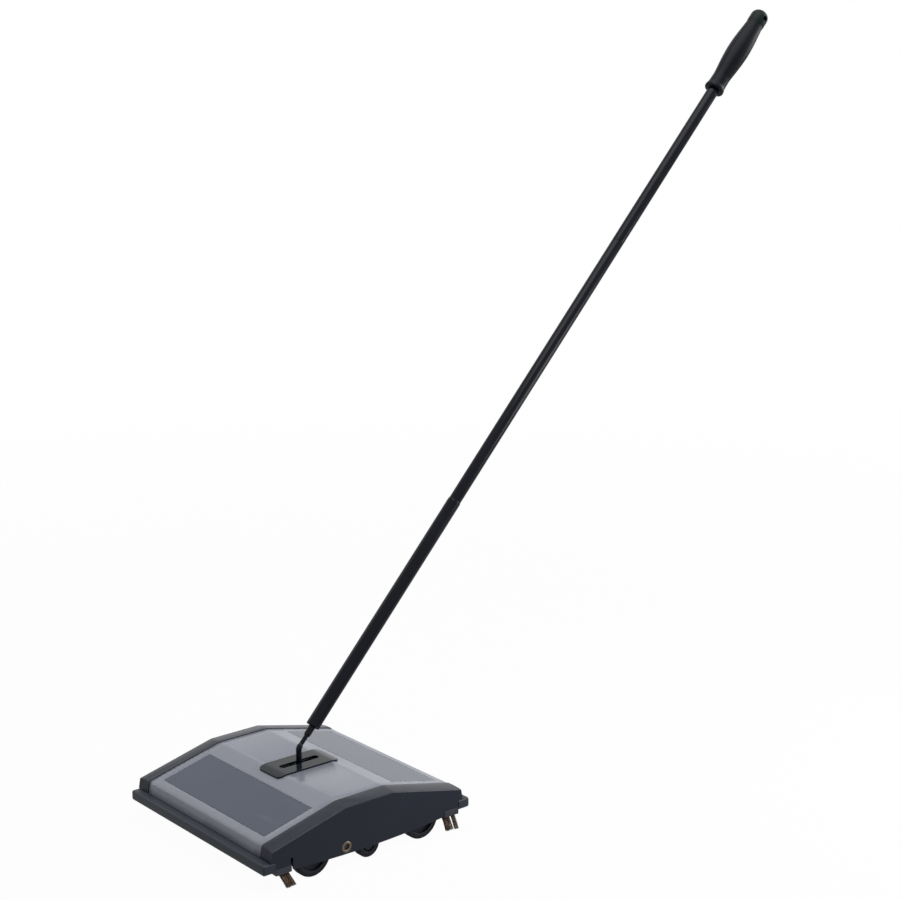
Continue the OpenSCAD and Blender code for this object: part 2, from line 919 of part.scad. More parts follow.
module front_left_tuft() {
    color(bristle_brown) corner(-1, -1) tuft(tuft_sweep);
}

module front_right_tuft() {
    color(bristle_brown) corner(1, -1) tuft(tuft_sweep);
}

module rear_left_tuft() {
    color(bristle_brown) corner(-1, 1) tuft(0);
}

module rear_right_tuft() {
    color(bristle_brown) corner(1, 1) tuft(0);
}

// ---- dust pans, modelled on the +Y side ----

module pan_rod() {
    bar_x(-wall_x - inner_t, wall_x + inner_t, hinge_y, hinge_h, rod_r - seat_fit);
}

// The (y, z) section of the floor, the far wall and the curved lip beside the brush
module pan_section() {
    translate([pan_floor_y, pan_low]) square([pan_far_y - pan_floor_y, pan_t]);
    translate([pan_far_y - pan_t, pan_low]) square([pan_t, pan_top - pan_low]);
    intersection() {
        difference() {
            translate([brush_y, brush_h]) circle(r = lip_r + pan_t);
            translate([brush_y, brush_h]) circle(r = lip_r);
        }
        translate([lip_from_y, 0]) square([lip_r, lip_top]);
    }
}

module pan() {
    difference() {
        union() {
            along_x(-pan_half, pan_half) pan_section();
            both_ends()
                along_x(pan_half - pan_t, pan_half)
                    translate([pan_near_y, pan_low])
                        square([pan_far_y - pan_near_y, pan_top - pan_low]);
            both_ends() {
                for (x = [knuckle_in, knuckle_out]) {
                    bar_x(x, x + knuckle_l, hinge_y, hinge_h, knuckle_r);
                    translate([x, pan_far_y - pan_t, pan_low])
                        cube([knuckle_l, knuckle_r + pan_t, hinge_h - pan_low]);
                }
            }
        }
        bar_x(-body_w, body_w, hinge_y, hinge_h, rod_r + running_gap);
        along_x(-body_w, body_w)
            difference() {
                translate([hinge_y, 0]) square([knuckle_r * 2, hinge_h]);
                translate([hinge_y, hinge_h]) circle(r = knuckle_r);
            }
        // Keeps the knuckle webs out of their own swing
        along_x(-body_w, body_w)
            translate([pan_far_y - pan_t, 0]) square([knuckle_r * 3, pan_low]);
    }
}

// A torsion spring round the hinge rod, with one leg towards the pan's floor
module pan_spring() {
    both_ends() {
        difference() {
            bar_x(spring_x, spring_x + spring_l, hinge_y, hinge_h, spring_r);
            bar_x(0, body_w, hinge_y, hinge_h, spring_r - spring_wire);
        }
        translate([spring_x, hinge_y - spring_wire, hinge_h + spring_r - spring_wire])
            cube([spring_wire, bumper_seat_y - cover_t - hinge_y + spring_wire, spring_wire]);
    }
}

module front_pan_rod() {
    color(steel) mirror([0, 1, 0]) pan_rod();
}

module rear_pan_rod() {
    color(steel) pan_rod();
}

module front_pan_springs() {
    color(steel) mirror([0, 1, 0]) pan_spring();
}

module rear_pan_springs() {
    color(steel) pan_spring();
}

module front_pan() {
    color(cap_grey) mirror([0, 1, 0]) pan();
}

module rear_pan() {
    color(cap_grey) pan();
}

// ---- handle ----

// Moves a child, built along Z from the bend, onto the leaning part of the handle
module on_handle() {
    translate([0, 0, pivot_h + post_l])
        rotate([-handle_lean, 0, 0])
            children();
}

// A tube along the handle between two distances from the bend
module handle_tube(from, to, outer, bore) {
    translate([0, 0, from])
        difference() {
            cylinder(h = to - from, r = outer);
            translate([0, 0, -over]) cylinder(h = to - from + 2 * over, r = bore);
        }
}

module handle_rod() {
    color(satin_black)
        difference() {
            union() {
                bar_x(-eye_w / 2, eye_w / 2, 0, pivot_h, eye_r);
                translate([0, 0, pivot_h]) cylinder(h = post_l, r = post_r);
                translate([0, 0, pivot_h + post_l]) sphere(r = post_r);
                on_handle() cylinder(h = tube_start + plug_l, r = bar_r);
            }
            bar_x(-eye_w, eye_w, 0, pivot_h, pin_r);
        }
}

module pivot_pin() {
    half = ear_gap / 2 + ear_t + end_play;
    color(steel) {
        bar_x(-half, half, 0, pivot_h, pin_r);
        both_ends() bar_x(half, half + pin_head_t, 0, pivot_h, pin_head_r);
    }
}

module friction_washers() {
    color(steel) both_ends()
        difference() {
            bar_x(eye_w / 2, ear_gap / 2 - running_gap, 0, pivot_h, eye_r);
            bar_x(0, ear_gap, 0, pivot_h, pin_r);
        }
}

module ferrule() {
    color(satin_black) on_handle() {
        handle_tube(tube_start - nose_l, tube_start, nose_r, bar_r);
        handle_tube(tube_start, tube_start + plug_l, lower_tube_bore, bar_r);
    }
}

module lower_tube() {
    color(satin_black) on_handle()
        handle_tube(tube_start, joint_one, lower_tube_d / 2, lower_tube_bore);
}

module middle_tube() {
    color(satin_black) on_handle() {
        handle_tube(joint_one, joint_two, tube_d / 2, tube_bore);
        handle_tube(joint_one - spigot_l, joint_one, lower_tube_bore, lower_tube_bore - tube_t);
        handle_tube(joint_one, joint_one + tube_t, tube_d / 2, lower_tube_bore - tube_t);
    }
}

module upper_tube() {
    color(satin_black) on_handle() {
        handle_tube(joint_two, tube_end, tube_d / 2, tube_bore);
        handle_tube(joint_two - spigot_l, joint_two, tube_bore, tube_bore - tube_t);
        handle_tube(joint_two, joint_two + tube_t, tube_d / 2, tube_bore - tube_t);
    }
}

// Radius of the grip at distance s from its flange end
function grip_radius(s) =
    let (t = (s - grip_neck_at) / (grip_l - grip_neck_at))
    let (base = neck_d + (upper_neck_d - neck_d) * t)
    (base + (belly_d - (neck_d + upper_neck_d) / 2) * pow(sin(180 * t), 1.25)) / 2;

module grip() {
    steps = 18;
    flange_l = 6;
    run = grip_l - grip_neck_at;
    color(satin_black) on_handle()
        translate([0, 0, grip_start])
            difference() {
                rotate_extrude()
                    polygon(concat(
                        [[0, 0], [flange_d / 2 - 1, 0], [flange_d / 2, 1], [flange_d / 2, flange_l - 2]],
                        [[neck_d / 2 + 0.6, flange_l], [neck_d / 2, grip_neck_at]],
                        [for (i = [1:steps])
                            let (s = grip_neck_at + run * i / steps)
                            [grip_radius(s), s]],
                        [[0, grip_l]]
                    ));
                translate([0, 0, -over]) cylinder(h = tube_end - grip_start + over, r = tube_d / 2);
                translate([0, 0, tube_end - grip_start - over]) cylinder(h = grip_l, r = plug_r);
            }
}

module grip_cap() {
    turns = 8;
    color(cap_grey) on_handle()
        translate([0, 0, grip_end])
            difference() {
                union() {
                    rotate_extrude()
                        polygon(concat(
                            [[0, 0], [upper_neck_d / 2, 0], [cap_d / 2, 1.5]],
                            [for (i = [0:turns])
                                [cap_d / 2 - cap_round + cap_round * cos(90 * i / turns),
                                 cap_l - cap_round + cap_round * sin(90 * i / turns)]],
                            [[0, cap_l]]
                        ));
                    translate([0, 0, tube_end - grip_end])
                        cylinder(h = grip_end - tube_end + over, r = plug_r);
                }
                bar_x(-cap_d, cap_d, 0, hang_at, hang_r);
            }
}

top_cover();
front_window();
rear_window();
slot_plate();
left_end_cap();
right_end_cap();
front_bumper();
rear_bumper();
handle_bracket();
bracket_screws();
cover_screws();
bumper_screws();
wheel_axles();
front_brush_eyelet();
rear_brush_eyelet();
brush_bushes();
front_pan_rod();
rear_pan_rod();
front_pan_springs();
rear_pan_springs();
front_left_tuft_holder();
front_right_tuft_holder();
rear_left_tuft_holder();
rear_right_tuft_holder();
front_left_tuft();
front_right_tuft();
rear_left_tuft();
rear_right_tuft();
handle_rod();
pivot_pin();
friction_washers();
ferrule();
lower_tube();
middle_tube();
upper_tube();
grip();
grip_cap();
front_brush_shaft();
front_brush_core();
front_brush_bristles();
front_brush_drums();
rear_brush_shaft();
rear_brush_core();
rear_brush_bristles();
rear_brush_drums();
at_wheel(-1, -wheel_y, wheel_r) hub(wheel_r);  // front_left_hub
at_wheel(-1, -wheel_y, wheel_r) tyre(wheel_r);  // front_left_tyre
at_wheel(1, -wheel_y, wheel_r) hub(wheel_r);  // front_right_hub
at_wheel(1, -wheel_y, wheel_r) tyre(wheel_r);  // front_right_tyre
at_wheel(-1, 0, mid_wheel_r) drive_hub();  // mid_left_hub
at_wheel(-1, 0, mid_wheel_r) tyre(mid_wheel_r);  // mid_left_tyre
at_wheel(1, 0, mid_wheel_r) drive_hub();  // mid_right_hub
at_wheel(1, 0, mid_wheel_r) tyre(mid_wheel_r);  // mid_right_tyre
at_wheel(-1, wheel_y, wheel_r) hub(wheel_r);  // rear_left_hub
at_wheel(-1, wheel_y, wheel_r) tyre(wheel_r);  // rear_left_tyre
at_wheel(1, wheel_y, wheel_r) hub(wheel_r);  // rear_right_hub
at_wheel(1, wheel_y, wheel_r) tyre(wheel_r);  // rear_right_tyre
front_pan();
rear_pan();
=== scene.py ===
import json
from functools import partial
from math import asin, atan, ceil, cos, pi, radians, sin, tan

import bmesh
import bpy
from mathutils import Matrix, Vector


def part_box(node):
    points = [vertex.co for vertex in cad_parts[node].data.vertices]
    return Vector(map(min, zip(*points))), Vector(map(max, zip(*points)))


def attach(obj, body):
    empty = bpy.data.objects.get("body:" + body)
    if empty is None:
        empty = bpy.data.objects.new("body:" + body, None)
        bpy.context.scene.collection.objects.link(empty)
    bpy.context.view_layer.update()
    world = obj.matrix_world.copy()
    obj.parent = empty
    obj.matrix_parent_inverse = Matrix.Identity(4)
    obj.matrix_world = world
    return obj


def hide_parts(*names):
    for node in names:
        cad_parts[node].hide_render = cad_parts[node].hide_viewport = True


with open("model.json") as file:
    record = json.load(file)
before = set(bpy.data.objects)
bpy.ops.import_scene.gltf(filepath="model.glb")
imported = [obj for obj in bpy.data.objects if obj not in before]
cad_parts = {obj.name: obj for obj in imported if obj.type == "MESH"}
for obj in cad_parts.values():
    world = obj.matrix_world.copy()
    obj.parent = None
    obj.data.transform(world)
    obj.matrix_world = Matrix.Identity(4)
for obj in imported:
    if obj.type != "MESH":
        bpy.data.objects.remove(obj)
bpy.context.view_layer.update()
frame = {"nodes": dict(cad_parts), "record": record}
print("frame loaded")

mm = 0.001
mergeWithin = 0.002 * mm
boxFaces = [(0, 1, 3, 2), (4, 6, 7, 5), (0, 4, 5, 1), (2, 3, 7, 6), (0, 2, 6, 4), (1, 5, 7, 3)]
collection = bpy.context.scene.collection


# Small mesh helpers. Points are given in millimetres.

def newPiece(name, mesh):
    piece = bpy.data.objects.new(name, mesh)
    collection.objects.link(piece)
    return piece


def smoothMesh(name, shell):
    mesh = bpy.data.meshes.new(name)
    shell.to_mesh(mesh)
    shell.free()
    mesh.shade_smooth()
    return mesh


def inMetres(point):
    return tuple(c * mm for c in point)


def meshFrom(name, points, faces):
    rough = bpy.data.meshes.new(name)
    rough.from_pydata([inMetres(p) for p in points], [], faces)
    shell = bmesh.new()
    shell.from_mesh(rough)
    bpy.data.meshes.remove(rough)
    bmesh.ops.remove_doubles(shell, verts=shell.verts, dist=mergeWithin)
    bmesh.ops.recalc_face_normals(shell, faces=shell.faces)
    return smoothMesh(name, shell)


def applyModifiers(piece):
    graph = bpy.context.evaluated_depsgraph_get()
    finished = bpy.data.meshes.new_from_object(piece.evaluated_get(graph))
    rough = piece.data
    piece.modifiers.clear()
    piece.data = finished
    bpy.data.meshes.remove(rough)


def softenEdges(piece, width, segments=2, angle=32):
    bevel = piece.modifiers.new("softEdges", "BEVEL")
    bevel.width = width * mm
    bevel.segments = segments
    bevel.limit_method = "ANGLE"
    bevel.angle_limit = radians(angle)
    bevel.harden_normals = True
    applyModifiers(piece)


def sharpenCreases(piece, angle):
    piece.data.shade_smooth()
    piece.data.set_sharp_from_angle(angle=radians(angle))


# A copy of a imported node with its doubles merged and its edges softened
def dressNode(name, nodeName, width):
    shell = bmesh.new()
    shell.from_mesh(frame["nodes"][nodeName].data)
    bmesh.ops.remove_doubles(shell, verts=shell.verts, dist=mergeWithin)
    bmesh.ops.dissolve_limit(shell, angle_limit=radians(0.3), verts=shell.verts, edges=shell.edges)
    mesh = smoothMesh(name, shell)
    for layer in ("custom_normal", "sharp_edge", "sharp_face"):
        if layer in mesh.attributes:
            mesh.attributes.remove(mesh.attributes[layer])
    piece = newPiece(name, mesh)
    softenEdges(piece, width)
    return piece


# Rounds the corners of a closed outline; radii is one number or one for each corner
def roundCorners(outline, radii, steps=5):
    rounded = []
    for k, corner in enumerate(outline):
        radius = radii[k] if isinstance(radii, (list, tuple)) else radii
        here = Vector(corner)
        before = Vector(outline[k - 1]) - here
        after = Vector(outline[(k + 1) % len(outline)]) - here
        turn = before.angle(after)
        cut = min(radius / tan(turn / 2), before.length * 0.49, after.length * 0.49)
        if radius <= 0 or cut < 1e-4:
            rounded.append(tuple(here))
            continue
        start, end = here + before.normalized() * cut, here + after.normalized() * cut
        for i in range(steps + 1):
            t = i / steps
            rounded.append(tuple(start * (1 - t) ** 2 + here * 2 * t * (1 - t) + end * t * t))
    return rounded


# Quads between rows of points, each row a ring; closed joins the last row to the first
def ringFaces(rows, steps, closed=False):
    faces = []
    for i in range(rows if closed else rows - 1):
        j = (i + 1) % rows
        for k in range(steps):
            n = (k + 1) % steps
            faces.append((i * steps + k, i * steps + n, j * steps + n, j * steps + k))
    return faces


# Turns a profile of (radius, along) pairs about the Z axis of place
def turned(name, profile, place, steps=48, closed=False):
    points = []
    for radius, along in profile:
        for k in range(steps):
            turn = 2 * pi * k / steps
            points.append(place @ Vector((radius * cos(turn), radius * sin(turn), along)))
    return meshFrom(name, points, ringFaces(len(profile), steps, closed))


# Sweeps a round section along a path; each point has its own radius and the ends are closed
def swept(name, path, radii, steps):
    points = []
    path = [Vector(p) for p in path]
    side = Vector((1, 0, 0))
    for i, here in enumerate(path):
        run = (path[min(i + 1, len(path) - 1)] - path[max(i - 1, 0)]).normalized()
        side = (side - run * side.dot(run)).normalized()
        other = run.cross(side)
        for k in range(steps):
            turn = 2 * pi * k / steps
            points.append(here + (side * cos(turn) + other * sin(turn)) * radii[i])
    ends = [tuple(range(steps)), tuple(range((len(path) - 1) * steps, len(path) * steps))]
    return meshFrom(name, points, ringFaces(len(path), steps) + ends)


def joined(name, meshes):
    shell = bmesh.new()
    for mesh in meshes:
        shell.from_mesh(mesh)
    return smoothMesh(name, shell)


def alongX(y, z):
    return Matrix.Translation((0, y, z)) @ Matrix.Rotation(pi / 2, 4, "Y")


def centreOf(nodeName):
    low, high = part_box(nodeName)
    return (low + high) / 2 / mm


# Node helpers for materials and geometry trees

# A new node; an input is a value, a socket, or a node that gives its first output
def place(tree, kind, inputs=None, **settings):
    made = tree.nodes.new(kind)
    for key, value in settings.items():
        setattr(made, key, value)
    for key, value in (inputs or {}).items():
        value = value.outputs[0] if isinstance(value, bpy.types.Node) else value
        if isinstance(value, bpy.types.NodeSocket):
            tree.links.new(value, made.inputs[key])
        else:
            made.inputs[key].default_value = value
    return made


# The tree that the given sockets lie in
def treeOf(*values):
    return next(value.id_data for value in values if isinstance(value, (bpy.types.Node, bpy.types.NodeSocket)))


def calc(operation, *values):
    return place(treeOf(*values), "ShaderNodeMath", dict(enumerate(values)), operation=operation).outputs[0]


times, plus, minus, over = [partial(calc, operation) for operation in ("MULTIPLY", "ADD", "SUBTRACT", "DIVIDE")]


def vecCalc(operation, *values, out=0):
    made = place(treeOf(*values), "ShaderNodeVectorMath", dict(enumerate(values)), operation=operation)
    return made.outputs[out]


def ranged(value, low, high, start=0.0, end=1.0):
    return place(value.id_data, "ShaderNodeMapRange", {0: value, 1: low, 2: high, 3: start, 4: end}).outputs[0]


def noise(vector, scale, detail, **more):
    inputs = {"Vector": vector, "Scale": scale, "Detail": detail, **more}
    return place(vector.id_data, "ShaderNodeTexNoise", inputs).outputs[0]


def mapped(vector, scale=(1.0, 1.0, 1.0)):
    return place(vector.id_data, "ShaderNodeMapping", {"Vector": vector, "Scale": scale}).outputs[0]


def heightOf(vector):
    return place(vector.id_data, "ShaderNodeSeparateXYZ", {0: vector}).outputs[2]


def combine(x=0.0, y=0.0, z=0.0):
    return place(treeOf(x, y, z), "ShaderNodeCombineXYZ", {0: x, 1: y, 2: z}).outputs[0]


def mixColors(factor, first, second):
    mixed = place(factor.id_data, "ShaderNodeMix", {0: factor, 6: first, 7: second}, data_type="RGBA")
    return mixed.outputs[2]


def tint(r, g, b):
    def linear(c):
        c /= 255
        return c / 12.92 if c <= 0.04045 else ((c + 0.055) / 1.055) ** 2.4
    return (linear(r), linear(g), linear(b), 1.0)


# A node group whose sockets are given as lists of names by kind
def newTree(name, kind, outputs, inputs):
    tree = bpy.data.node_groups.new(name, kind)
    for way, sockets in (("INPUT", inputs), ("OUTPUT", outputs)):
        for socketKind, labels in sockets.items():
            for label in labels:
                tree.interface.new_socket(name=label, in_out=way, socket_type="NodeSocket" + socketKind)
    return tree, tree.nodes.new("NodeGroupInput").outputs, tree.nodes.new("NodeGroupOutput").inputs


def closeTree(tree, out, **results):
    for label, result in results.items():
        tree.links.new(result, out[label])
    return tree


# Shared shader groups

def startGroup(name, outputs, **inputs):
    return newTree(name, "ShaderNodeTree", outputs, inputs)


def makeToneDrift():
    tree, given, out = startGroup("toneDrift", {"Color": ["Color"], "Float": ["Value"]}, Color=["Color"],
                                  Vector=["Vector"], Float=["Scale", "Strength"])
    wide = noise(given["Vector"], given["Scale"], 3.0)
    centred = times(minus(wide, 0.5), 2.0)
    drift = calc("MULTIPLY_ADD", centred, given["Strength"], 1.0)
    color = place(tree, "ShaderNodeVectorMath", {0: given["Color"], "Scale": drift}, operation="SCALE")
    return closeTree(tree, out, Color=color.outputs[0], Value=wide)


def makeMouldedGrain():
    tree, given, out = startGroup("mouldedGrain", {"Float": ["Height"]}, Vector=["Vector"],
                                  Float=["Scale", "Coarse"])
    fine = noise(given["Vector"], given["Scale"], 2.0)
    broad = noise(given["Vector"], times(given["Scale"], 0.22), 1.0)
    return closeTree(tree, out, Height=calc("MULTIPLY_ADD", broad, given["Coarse"], fine))


def makeDrawnLines():
    tree, given, out = startGroup("drawnLines", {"Float": ["Height"]}, Vector=["Vector", "Stretch"],
                                  Float=["Scale"])
    stretched = mapped(given["Vector"], given["Stretch"])
    return closeTree(tree, out, Height=noise(stretched, given["Scale"], 4.0, Roughness=0.6))


wearLook = {"radius": 0.6 * mm, "edge": (0.01, 0.18), "patchScale": 160.0, "patch": (0.38, 0.62)}


def makeEdgeWear():
    tree, given, out = startGroup("edgeWear", {"Color": ["Color"]}, Color=["Color", "Worn"],
                                  Vector=["Vector"], Float=["Radius", "Amount"])
    wide = place(tree, "ShaderNodeBevel", {"Radius": given["Radius"]}, samples=4).outputs[0]
    flat = place(tree, "ShaderNodeNewGeometry").outputs["Normal"]
    facing = vecCalc("DOT_PRODUCT", wide, flat, out="Value")
    edge = ranged(minus(1.0, facing), *wearLook["edge"])
    broken = ranged(noise(given["Vector"], wearLook["patchScale"], 4.0), *wearLook["patch"])
    mask = times(times(edge, broken), given["Amount"])
    return closeTree(tree, out, Color=mixColors(mask, given["Color"], given["Worn"]))


dustLook = {
    "color": (0.42, 0.43, 0.46, 1), "upward": (0.2, 1.0), "speckScale": 1400.0, "speck": (0.62, 0.7),
    "speckShare": 0.5, "veilScale": 28.0, "veilShare": 0.6}


def makeSettledDust():
    look = dustLook
    tree, given, out = startGroup("settledDust", {"Color": ["Color"]}, Color=["Color", "Dust"],
                                  Vector=["Vector"], Float=["Amount"])
    upward = ranged(heightOf(place(tree, "ShaderNodeNewGeometry").outputs["Normal"]), *look["upward"])
    specks = times(ranged(noise(given["Vector"], look["speckScale"], 0.0), *look["speck"]), look["speckShare"])
    veil = calc("MULTIPLY_ADD", noise(given["Vector"], look["veilScale"], 6.0), look["veilShare"], specks)
    mask = times(times(upward, veil), given["Amount"])
    return closeTree(tree, out, Color=mixColors(mask, given["Color"], given["Dust"]))


toneDrift = makeToneDrift()
mouldedGrain = makeMouldedGrain()
drawnLines = makeDrawnLines()
edgeWear = makeEdgeWear()
settledDust = makeSettledDust()


def useGroup(tree, group, inputs):
    return place(tree, "ShaderNodeGroup", inputs, node_tree=group).outputs


def emptyTree(owner):
    owner.use_nodes = True
    owner.node_tree.nodes.clear()
    return owner.node_tree


def startMaterial(name, look):
    material = bpy.data.materials.new(name)
    tree = emptyTree(material)
    shader = place(tree, "ShaderNodeBsdfPrincipled", {
        "Roughness": look["roughness"], "Metallic": look["metallic"], "Specular IOR Level": look["specular"],
        "Alpha": look["alpha"]})
    place(tree, "ShaderNodeOutputMaterial", {0: shader})
    coords = place(tree, "ShaderNodeTexCoord").outputs["Object"]
    return material, tree, shader, mapped(coords)


def addBump(tree, shader, height, depth):
    bump = place(tree, "ShaderNodeBump", {"Height": height, "Distance": depth * mm, "Strength": 1.0})
    tree.links.new(bump.outputs[0], shader.inputs["Normal"])


def varyRoughness(tree, shader, value, look):
    ends = (look["roughness"] - look["gloss"], look["roughness"] + look["gloss"])
    tree.links.new(ranged(value, *look["glossBand"], *ends), shader.inputs["Roughness"])


def driftTone(tree, look, color, coords):
    return useGroup(tree, toneDrift, {
        "Color": color, "Vector": coords, "Scale": look["driftScale"], "Strength": look["drift"]})


# What a material has unless its own values say otherwise
mouldedLook = {
    "metallic": 0.0, "specular": 0.5, "alpha": 1.0, "driftScale": 22.0, "drift": 0.05, "wear": 0.0, "dust": 0.0,
    "grainScale": 900.0, "coarse": 0.35, "gloss": 0.04, "glossBand": (0.3, 0.7)}


# Moulded plastic, rubber and paint share one recipe; only their values differ
def mouldedMaterial(name, values):
    look = {**mouldedLook, **values}
    material, tree, shader, coords = startMaterial(name, look)
    tone = driftTone(tree, look, look["color"], coords)
    color = tone["Color"]
    if look["wear"] > 0:
        color = useGroup(tree, edgeWear, {
            "Color": color, "Worn": look["worn"], "Vector": coords, "Radius": wearLook["radius"],
            "Amount": look["wear"]})["Color"]
    if look["dust"] > 0:
        color = useGroup(tree, settledDust, {
            "Color": color, "Dust": dustLook["color"], "Vector": coords, "Amount": look["dust"]})["Color"]
    tree.links.new(color, shader.inputs["Base Color"])
    grain = useGroup(tree, mouldedGrain, {
        "Vector": coords, "Scale": look["grainScale"], "Coarse": look["coarse"]})
    varyRoughness(tree, shader, tone["Value"], look)
    addBump(tree, shader, grain["Height"], look["grain"])
    return material


metalLook = {
    **mouldedLook, "metallic": 1.0, "driftScale": 60.0, "drift": 0.08, "stretch": (0.05, 1.0, 1.0),
    "lineScale": 900.0, "gloss": 0.08, "tarnishScale": 140.0, "tarnishPatch": (0.5, 0.75)}


def metalMaterial(name, values):
    look = {**metalLook, **values}
    material, tree, shader, coords = startMaterial(name, look)
    color = driftTone(tree, look, look["color"], coords)["Color"]
    if "tarnish" in look:
        patches = noise(coords, look["tarnishScale"], 5.0)
        patch = ranged(patches, *look["tarnishPatch"], 0.0, look["tarnishAmount"])
        color = mixColors(patch, color, look["tarnish"])
    tree.links.new(color, shader.inputs["Base Color"])
    lines = useGroup(tree, drawnLines, {
        "Vector": coords, "Stretch": look["stretch"], "Scale": look["lineScale"]})
    varyRoughness(tree, shader, lines["Height"], look)
    addBump(tree, shader, lines["Height"], look["grain"])
    return material


print("shared groups ready")

# Materials
coverPaint = mouldedMaterial("coverPaint", {
    "color": tint(132, 135, 147), "roughness": 0.27, "drift": 0.02, "driftScale": 14.0,
    "grain": 0.01, "grainScale": 700.0, "gloss": 0.03, "dust": 0.02})

capPlastic = mouldedMaterial("capPlastic", {
    "color": tint(28, 34, 47), "roughness": 0.27, "specular": 0.2, "drift": 0.06, "grain": 0.015,
    "grainScale": 1100.0, "worn": tint(104, 106, 118), "wear": 0.4, "dust": 0.09})

platePlastic = mouldedMaterial("platePlastic", {
    "color": tint(13, 23, 31), "roughness": 0.16, "specular": 0.2, "grain": 0.006,
    "grainScale": 500.0, "worn": tint(86, 92, 94), "wear": 0.3, "dust": 0.03})

bumperRubber = mouldedMaterial("bumperRubber", {
    "color": tint(40, 46, 55), "roughness": 0.45, "specular": 0.25, "grain": 0.03,
    "grainScale": 1300.0, "worn": tint(96, 99, 106), "wear": 0.2, "dust": 0.06})

blackPaint = mouldedMaterial("blackPaint", {
    "color": tint(11, 14, 25), "roughness": 0.2, "specular": 0.14, "drift": 0.1, "driftScale": 30.0,
    "grain": 0.01, "grainScale": 600.0, "gloss": 0.05})

gripPlastic = mouldedMaterial("gripPlastic", {
    "color": tint(8, 13, 20), "roughness": 0.36, "specular": 0.1, "drift": 0.08, "grain": 0.05,
    "grainScale": 1500.0, "coarse": 0.2})

capEndPlastic = mouldedMaterial("capEndPlastic", {
    "color": tint(18, 31, 28), "roughness": 0.4, "specular": 0.1, "grain": 0.02})

nylon = mouldedMaterial("bushNylon", {
    "color": tint(226, 220, 204), "roughness": 0.4, "drift": 0.03, "grain": 0.01})

panPlastic = mouldedMaterial("panPlastic", {
    "color": tint(46, 48, 54), "roughness": 0.48, "specular": 0.3, "drift": 0.06, "grain": 0.03,
    "worn": tint(100, 102, 106), "wear": 0.3, "dust": 0.15})

tyreRubber = mouldedMaterial("tyreRubber", {
    "color": tint(17, 19, 22), "roughness": 0.68, "specular": 0.2, "drift": 0.1, "grain": 0.05,
    "grainScale": 1800.0, "worn": tint(60, 61, 62), "wear": 0.2, "dust": 0.06})

hubPlastic = mouldedMaterial("hubPlastic", {
    "color": tint(29, 34, 42), "roughness": 0.5, "specular": 0.2, "grain": 0.02})

zincSteel = metalMaterial("zincSteel", {
    "color": tint(188, 190, 194), "roughness": 0.34, "grain": 0.004})

# Phosphated steel: the corner clips, the shafts and what is under the slot
darkSteel = metalMaterial("darkSteel", {
    "color": tint(66, 68, 73), "roughness": 0.42, "grain": 0.004})

springSteel = metalMaterial("springSteel", {
    "color": tint(150, 150, 152), "roughness": 0.3, "grain": 0.003})

eyeletBrass = metalMaterial("eyeletBrass", {
    "color": tint(108, 97, 86), "roughness": 0.42, "grain": 0.004,
    "stretch": (1.0, 1.0, 1.0), "tarnish": tint(84, 72, 58), "tarnishAmount": 0.7})

windowSmoke = mouldedMaterial("windowSmoke", {
    "color": tint(52, 64, 88), "roughness": 0.08, "specular": 0.7, "alpha": 0.88,
    "grain": 0.003, "grainScale": 260.0, "gloss": 0.02, "dust": 0.02})

woodLook = {
    **mouldedLook, "color": tint(150, 108, 66), "vein": tint(104, 70, 40), "roughness": 0.6, "grain": 0.05,
    "stretch": (0.06, 1.0, 1.0), "veinScale": 420.0, "patch": (0.35, 0.65)}


def makeWood(look):
    material, tree, shader, coords = startMaterial("coreWood", look)
    veins = noise(mapped(coords, look["stretch"]), look["veinScale"], 6.0, Distortion=0.8)
    color = mixColors(ranged(veins, *look["patch"]), look["color"], look["vein"])
    tree.links.new(color, shader.inputs["Base Color"])
    addBump(tree, shader, veins, look["grain"])
    return material


coreWood = makeWood(woodLook)
bristleLook = {
    **mouldedLook, "color": tint(104, 84, 68), "dark": tint(46, 34, 27), "roughness": 0.5, "specular": 0.4,
    "driftScale": 300.0, "drift": 0.15, "gloss": 0.1}


def makeBristle(look):
    material, tree, shader, coords = startMaterial("brownBristle", look)
    strand = place(tree, "ShaderNodeAttribute", attribute_name="strand")
    mixed = mixColors(strand.outputs["Fac"], look["dark"], look["color"])
    tone = driftTone(tree, look, mixed, coords)
    tree.links.new(tone["Color"], shader.inputs["Base Color"])
    varyRoughness(tree, shader, tone["Value"], look)
    return material


brownBristle = makeBristle(bristleLook)
print("materials ready")

bodyOf = {node: body for body, nodes in frame["record"]["behaviour"]["bodies"].items() for node in nodes}


# Gives a piece its material and its body, in place of one imported node
def finishPiece(piece, material, nodeName):
    piece.data.materials.clear()
    piece.data.materials.append(material)
    for face in piece.data.polygons:
        face.material_index = 0
    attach(piece, bodyOf[nodeName])
    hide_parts(nodeName)


def addPiece(name, mesh, crease, material, nodeName):
    piece = newPiece(name, mesh)
    sharpenCreases(piece, crease)
    finishPiece(piece, material, nodeName)


# The shape that the cover, the windows and the end caps share
shell = {
    "crownHeight": 64.6, "crownFlat": 31.0, "bendRound": 20.0, "edgeHeight": 42.9, "edgeHalf": 120.6,
    "footHalf": 122.9, "footHeight": 30.4, "edgeRound": 4.0, "seatHalf": 118.0, "seatLow": 19.2,
    "thickness": 2.0, "wallHalf": 105.0}
slopeLean = atan((shell["crownHeight"] - shell["edgeHeight"]) / (shell["edgeHalf"] - shell["crownFlat"]))
skirtLean = atan((shell["footHalf"] - shell["edgeHalf"]) / (shell["edgeHeight"] - shell["footHeight"]))
skirtTan = tan(skirtLean)
bendY = shell["crownFlat"] - shell["bendRound"] * tan(slopeLean / 2)
bendZ = shell["crownHeight"] - shell["bendRound"]
bendEnd = bendY + shell["bendRound"] * sin(slopeLean)
cornerShare = shell["edgeRound"] / cos(slopeLean + skirtLean)
